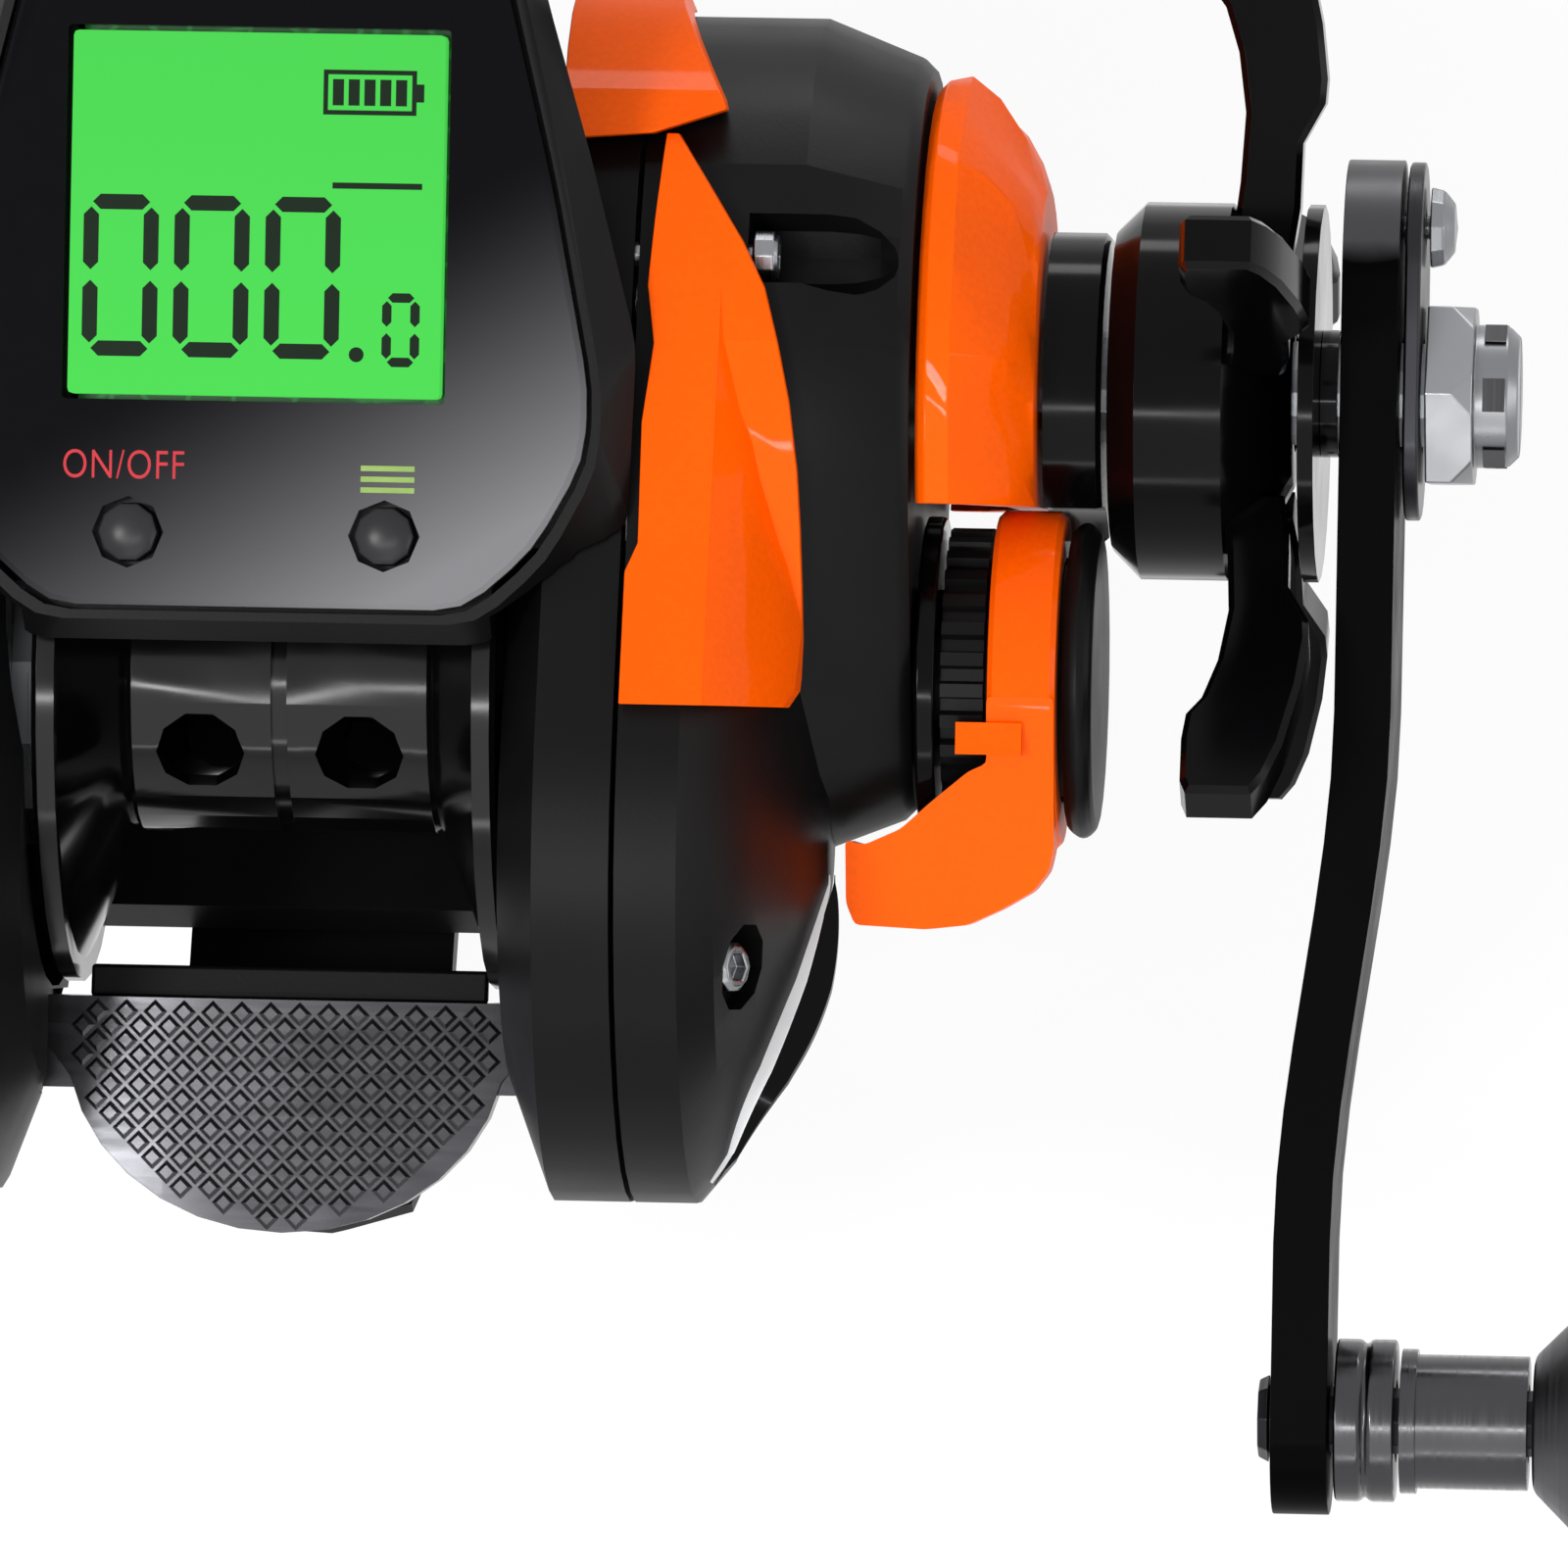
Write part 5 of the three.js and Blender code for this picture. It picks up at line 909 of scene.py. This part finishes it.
class REEL_OT_brake_dial(bpy.types.Operator, ReelOperator):
    """Brake dial on the palm side, with plain numbers round it"""

    bl_idname = "reel.brake_dial"
    bl_label = "Brake dial"

    def execute(self, context):
        dress("brake_dial", "body", edge=0.12)
        facing = Vector((-1, 0, 0))
        ring_depth, ring_radius, letter_size = 1.1, 7.0, 1.35
        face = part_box("brake_dial")[0].x + ring_depth * MM
        centre = Vector((face, -AXIS_SETBACK * MM, AXIS_HEIGHT * MM))
        first_angle, step = 112.5, 45
        for number in range(1, 9):
            angle = math.radians(first_angle - step * (number - 1))
            upward = Vector((0, math.cos(angle), math.sin(angle)))
            turned = Matrix((upward.cross(facing), upward, facing)).transposed().to_4x4()
            matrix = Matrix.Translation(centre + upward * (ring_radius * MM)) @ turned
            lettering(f"dial_number_{number}", str(number), letter_size, matrix, "dial_label",
                      body_of("brake_dial"))
        return {"FINISHED"}


class REEL_OT_stage(bpy.types.Operator, ReelOperator):
    """Floor, lights, background and camera"""

    bl_idname = "reel.stage"
    bl_label = "Stage"

    def execute(self, context):
        stage = context.scene.reel_stage
        self.add_floor(stage.floor_drop, stage.shade)
        self.add_world(context.scene)
        centre = Vector((0.03, -0.005, 0.03))
        # Each light's place, width and height in metres, and its power
        lights = (
            ("Soft light", (0.12, -0.5, 0.33), 0.5, 0.42, stage.soft_power),
            ("Strip light", (0.02, -0.385, 0.5), 0.5, 0.016, stage.strip_power),
            ("Low light", (0.16, -0.58, 0.11), 0.5, 0.03, stage.low_power),
            ("Left light", (-0.215, -0.265, 0.52), 0.09, 0.13, stage.left_power),
            ("Right light", (0.62, -0.06, 0.12), 0.3, 0.2, stage.right_power),
            ("Back light", (0.1, 0.57, 0.19), 0.5, 0.1, stage.back_power),
        )
        for name, spot, width, height, power in lights:
            self.add_light(name, Vector(spot), centre, width, height, power)
        self.add_camera(context.scene)
        context.scene.view_settings.view_transform = "Standard"
        return {"FINISHED"}

    def add_floor(self, drop, shade):
        mesh = bpy.data.meshes.new("floor")
        reach = 3.0
        corners = ((-reach, -reach), (reach, -reach), (reach, reach), (-reach, reach))
        mesh.from_pydata([(x, y, -drop) for x, y in corners], [], [(0, 1, 2, 3)])
        look = Finish("Pale floor")
        look.shine(Base_Color=paint(252, 252, 252), Roughness=0.9)
        white = look.node("ShaderNodeEmission", {}, {"Strength": 1.0})
        share = look.node("ShaderNodeMath", {"operation": "MULTIPLY"}, {
            0: self.seen_share(look.tree), 1: 1 - shade})
        mix = look.node("ShaderNodeMixShader", {}, {
            0: share.outputs[0], 1: look.shader.outputs[0], 2: white.outputs[0]})
        output = next(node for node in look.tree.nodes if node.type == "OUTPUT_MATERIAL")
        look.feed(output.inputs["Surface"], mix.outputs[0])
        mesh.materials.append(look.material)
        new_object("floor", mesh)

    def seen_share(self, tree):
        """1 for a ray from the camera, a reflection or clear material, and 0 for one that brings light."""
        rays = tree.nodes.new("ShaderNodeLightPath")
        seen = rays.outputs["Is Camera Ray"]
        for name in ("Is Glossy Ray", "Is Transmission Ray"):
            either = tree.nodes.new("ShaderNodeMath")
            either.operation = "MAXIMUM"
            tree.links.new(seen, either.inputs[0])
            tree.links.new(rays.outputs[name], either.inputs[1])
            seen = either.outputs[0]
        return seen

    def add_world(self, scene):
        """Soft white light all round, and plain white wherever the world itself is seen."""
        world = bpy.data.worlds.new("Studio")
        world.use_nodes = True
        tree = world.node_tree
        tree.nodes.clear()
        mix = tree.nodes.new("ShaderNodeMixShader")
        tree.links.new(self.seen_share(tree), mix.inputs[0])
        for socket, strength in ((1, 0.58), (2, 1.0)):
            white = tree.nodes.new("ShaderNodeBackground")
            white.inputs["Color"].default_value = (1.0, 1.0, 1.0, 1.0)
            white.inputs["Strength"].default_value = strength
            tree.links.new(white.outputs[0], mix.inputs[socket])
        output = tree.nodes.new("ShaderNodeOutputWorld")
        tree.links.new(mix.outputs[0], output.inputs["Surface"])
        scene.world = world

    def add_light(self, name, spot, aim, width, height, power):
        lamp = bpy.data.lights.new(name, "AREA")
        lamp.shape = "RECTANGLE"
        lamp.size = width
        lamp.size_y = height
        lamp.energy = power
        holder = new_object(name, lamp)
        holder.location = spot
        holder.rotation_euler = (aim - spot).to_track_quat("-Z", "Y").to_euler()

    def add_camera(self, scene):
        """The photograph's view: 65 degrees above the horizon, turned a little to the handle side."""
        rise, turn, roll = math.radians(65), math.radians(4.5), math.radians(1.1)
        distance = 1.1
        pixels_per_metre = 18 / MM
        right = Vector((1, 0, 0))
        up = Vector((0, math.sin(rise), math.cos(rise)))
        back = Vector((0, -math.cos(rise), math.sin(rise)))
        view = math.cos(turn) * back + math.sin(turn) * right
        side = math.cos(turn) * right - math.sin(turn) * back
        across = math.cos(roll) * side + math.sin(roll) * up
        upward = math.cos(roll) * up - math.sin(roll) * side
        spool = Vector((0, -AXIS_SETBACK, AXIS_HEIGHT)) * MM
        spool_pixel = (302.0, 679.5)
        half_frame = 800.0
        camera = bpy.data.cameras.new("Photo view")
        camera.sensor_width = 36.0
        camera.lens = pixels_per_metre * distance / (2 * half_frame) * camera.sensor_width
        camera.clip_start = 0.01
        camera.clip_end = 20.0
        holder = new_object("Photo view", camera)
        shift_x = (spool_pixel[0] - half_frame) / pixels_per_metre
        shift_y = (half_frame - spool_pixel[1]) / pixels_per_metre
        holder.location = spool + view * distance - across * shift_x - upward * shift_y
        axes = Matrix((across, upward, view)).transposed()
        holder.rotation_euler = axes.to_euler()
        scene.camera = holder


class REEL_PT_panel(bpy.types.Panel):
    bl_idname = "REEL_PT_panel"
    bl_label = "Line Counter Reel"
    bl_space_type = "VIEW_3D"
    bl_region_type = "UI"
    bl_category = "Reel"

    def draw(self, context):
        for step in STEPS:
            self.layout.operator(step.bl_idname)


STEPS = (
    REEL_OT_finishes, REEL_OT_shell, REEL_OT_counter, REEL_OT_display, REEL_OT_labels, REEL_OT_thumb_bar,
    REEL_OT_spool, REEL_OT_handle, REEL_OT_knob, REEL_OT_cast_control, REEL_OT_brake_dial, REEL_OT_stage,
)
SETTINGS = {
    "reel_colours": ReelColours,
    "reel_knurl": ReelKnurl,
    "reel_display": ReelDisplay,
    "reel_stage": ReelStage,
}


def register():
    for group in SETTINGS.values():
        bpy.utils.register_class(group)
    for step in STEPS + (REEL_PT_panel,):
        bpy.utils.register_class(step)
    for name, group in SETTINGS.items():
        setattr(bpy.types.Scene, name, bpy.props.PointerProperty(type=group))


def unregister():
    for name in SETTINGS:
        delattr(bpy.types.Scene, name)
    for step in (REEL_PT_panel,) + STEPS[::-1]:
        bpy.utils.unregister_class(step)
    for group in SETTINGS.values():
        bpy.utils.unregister_class(group)


def main():
    register()
    for step in STEPS:
        family, name = step.bl_idname.split(".")
        getattr(getattr(bpy.ops, family), name)()


if __name__ == "__main__":
    main()
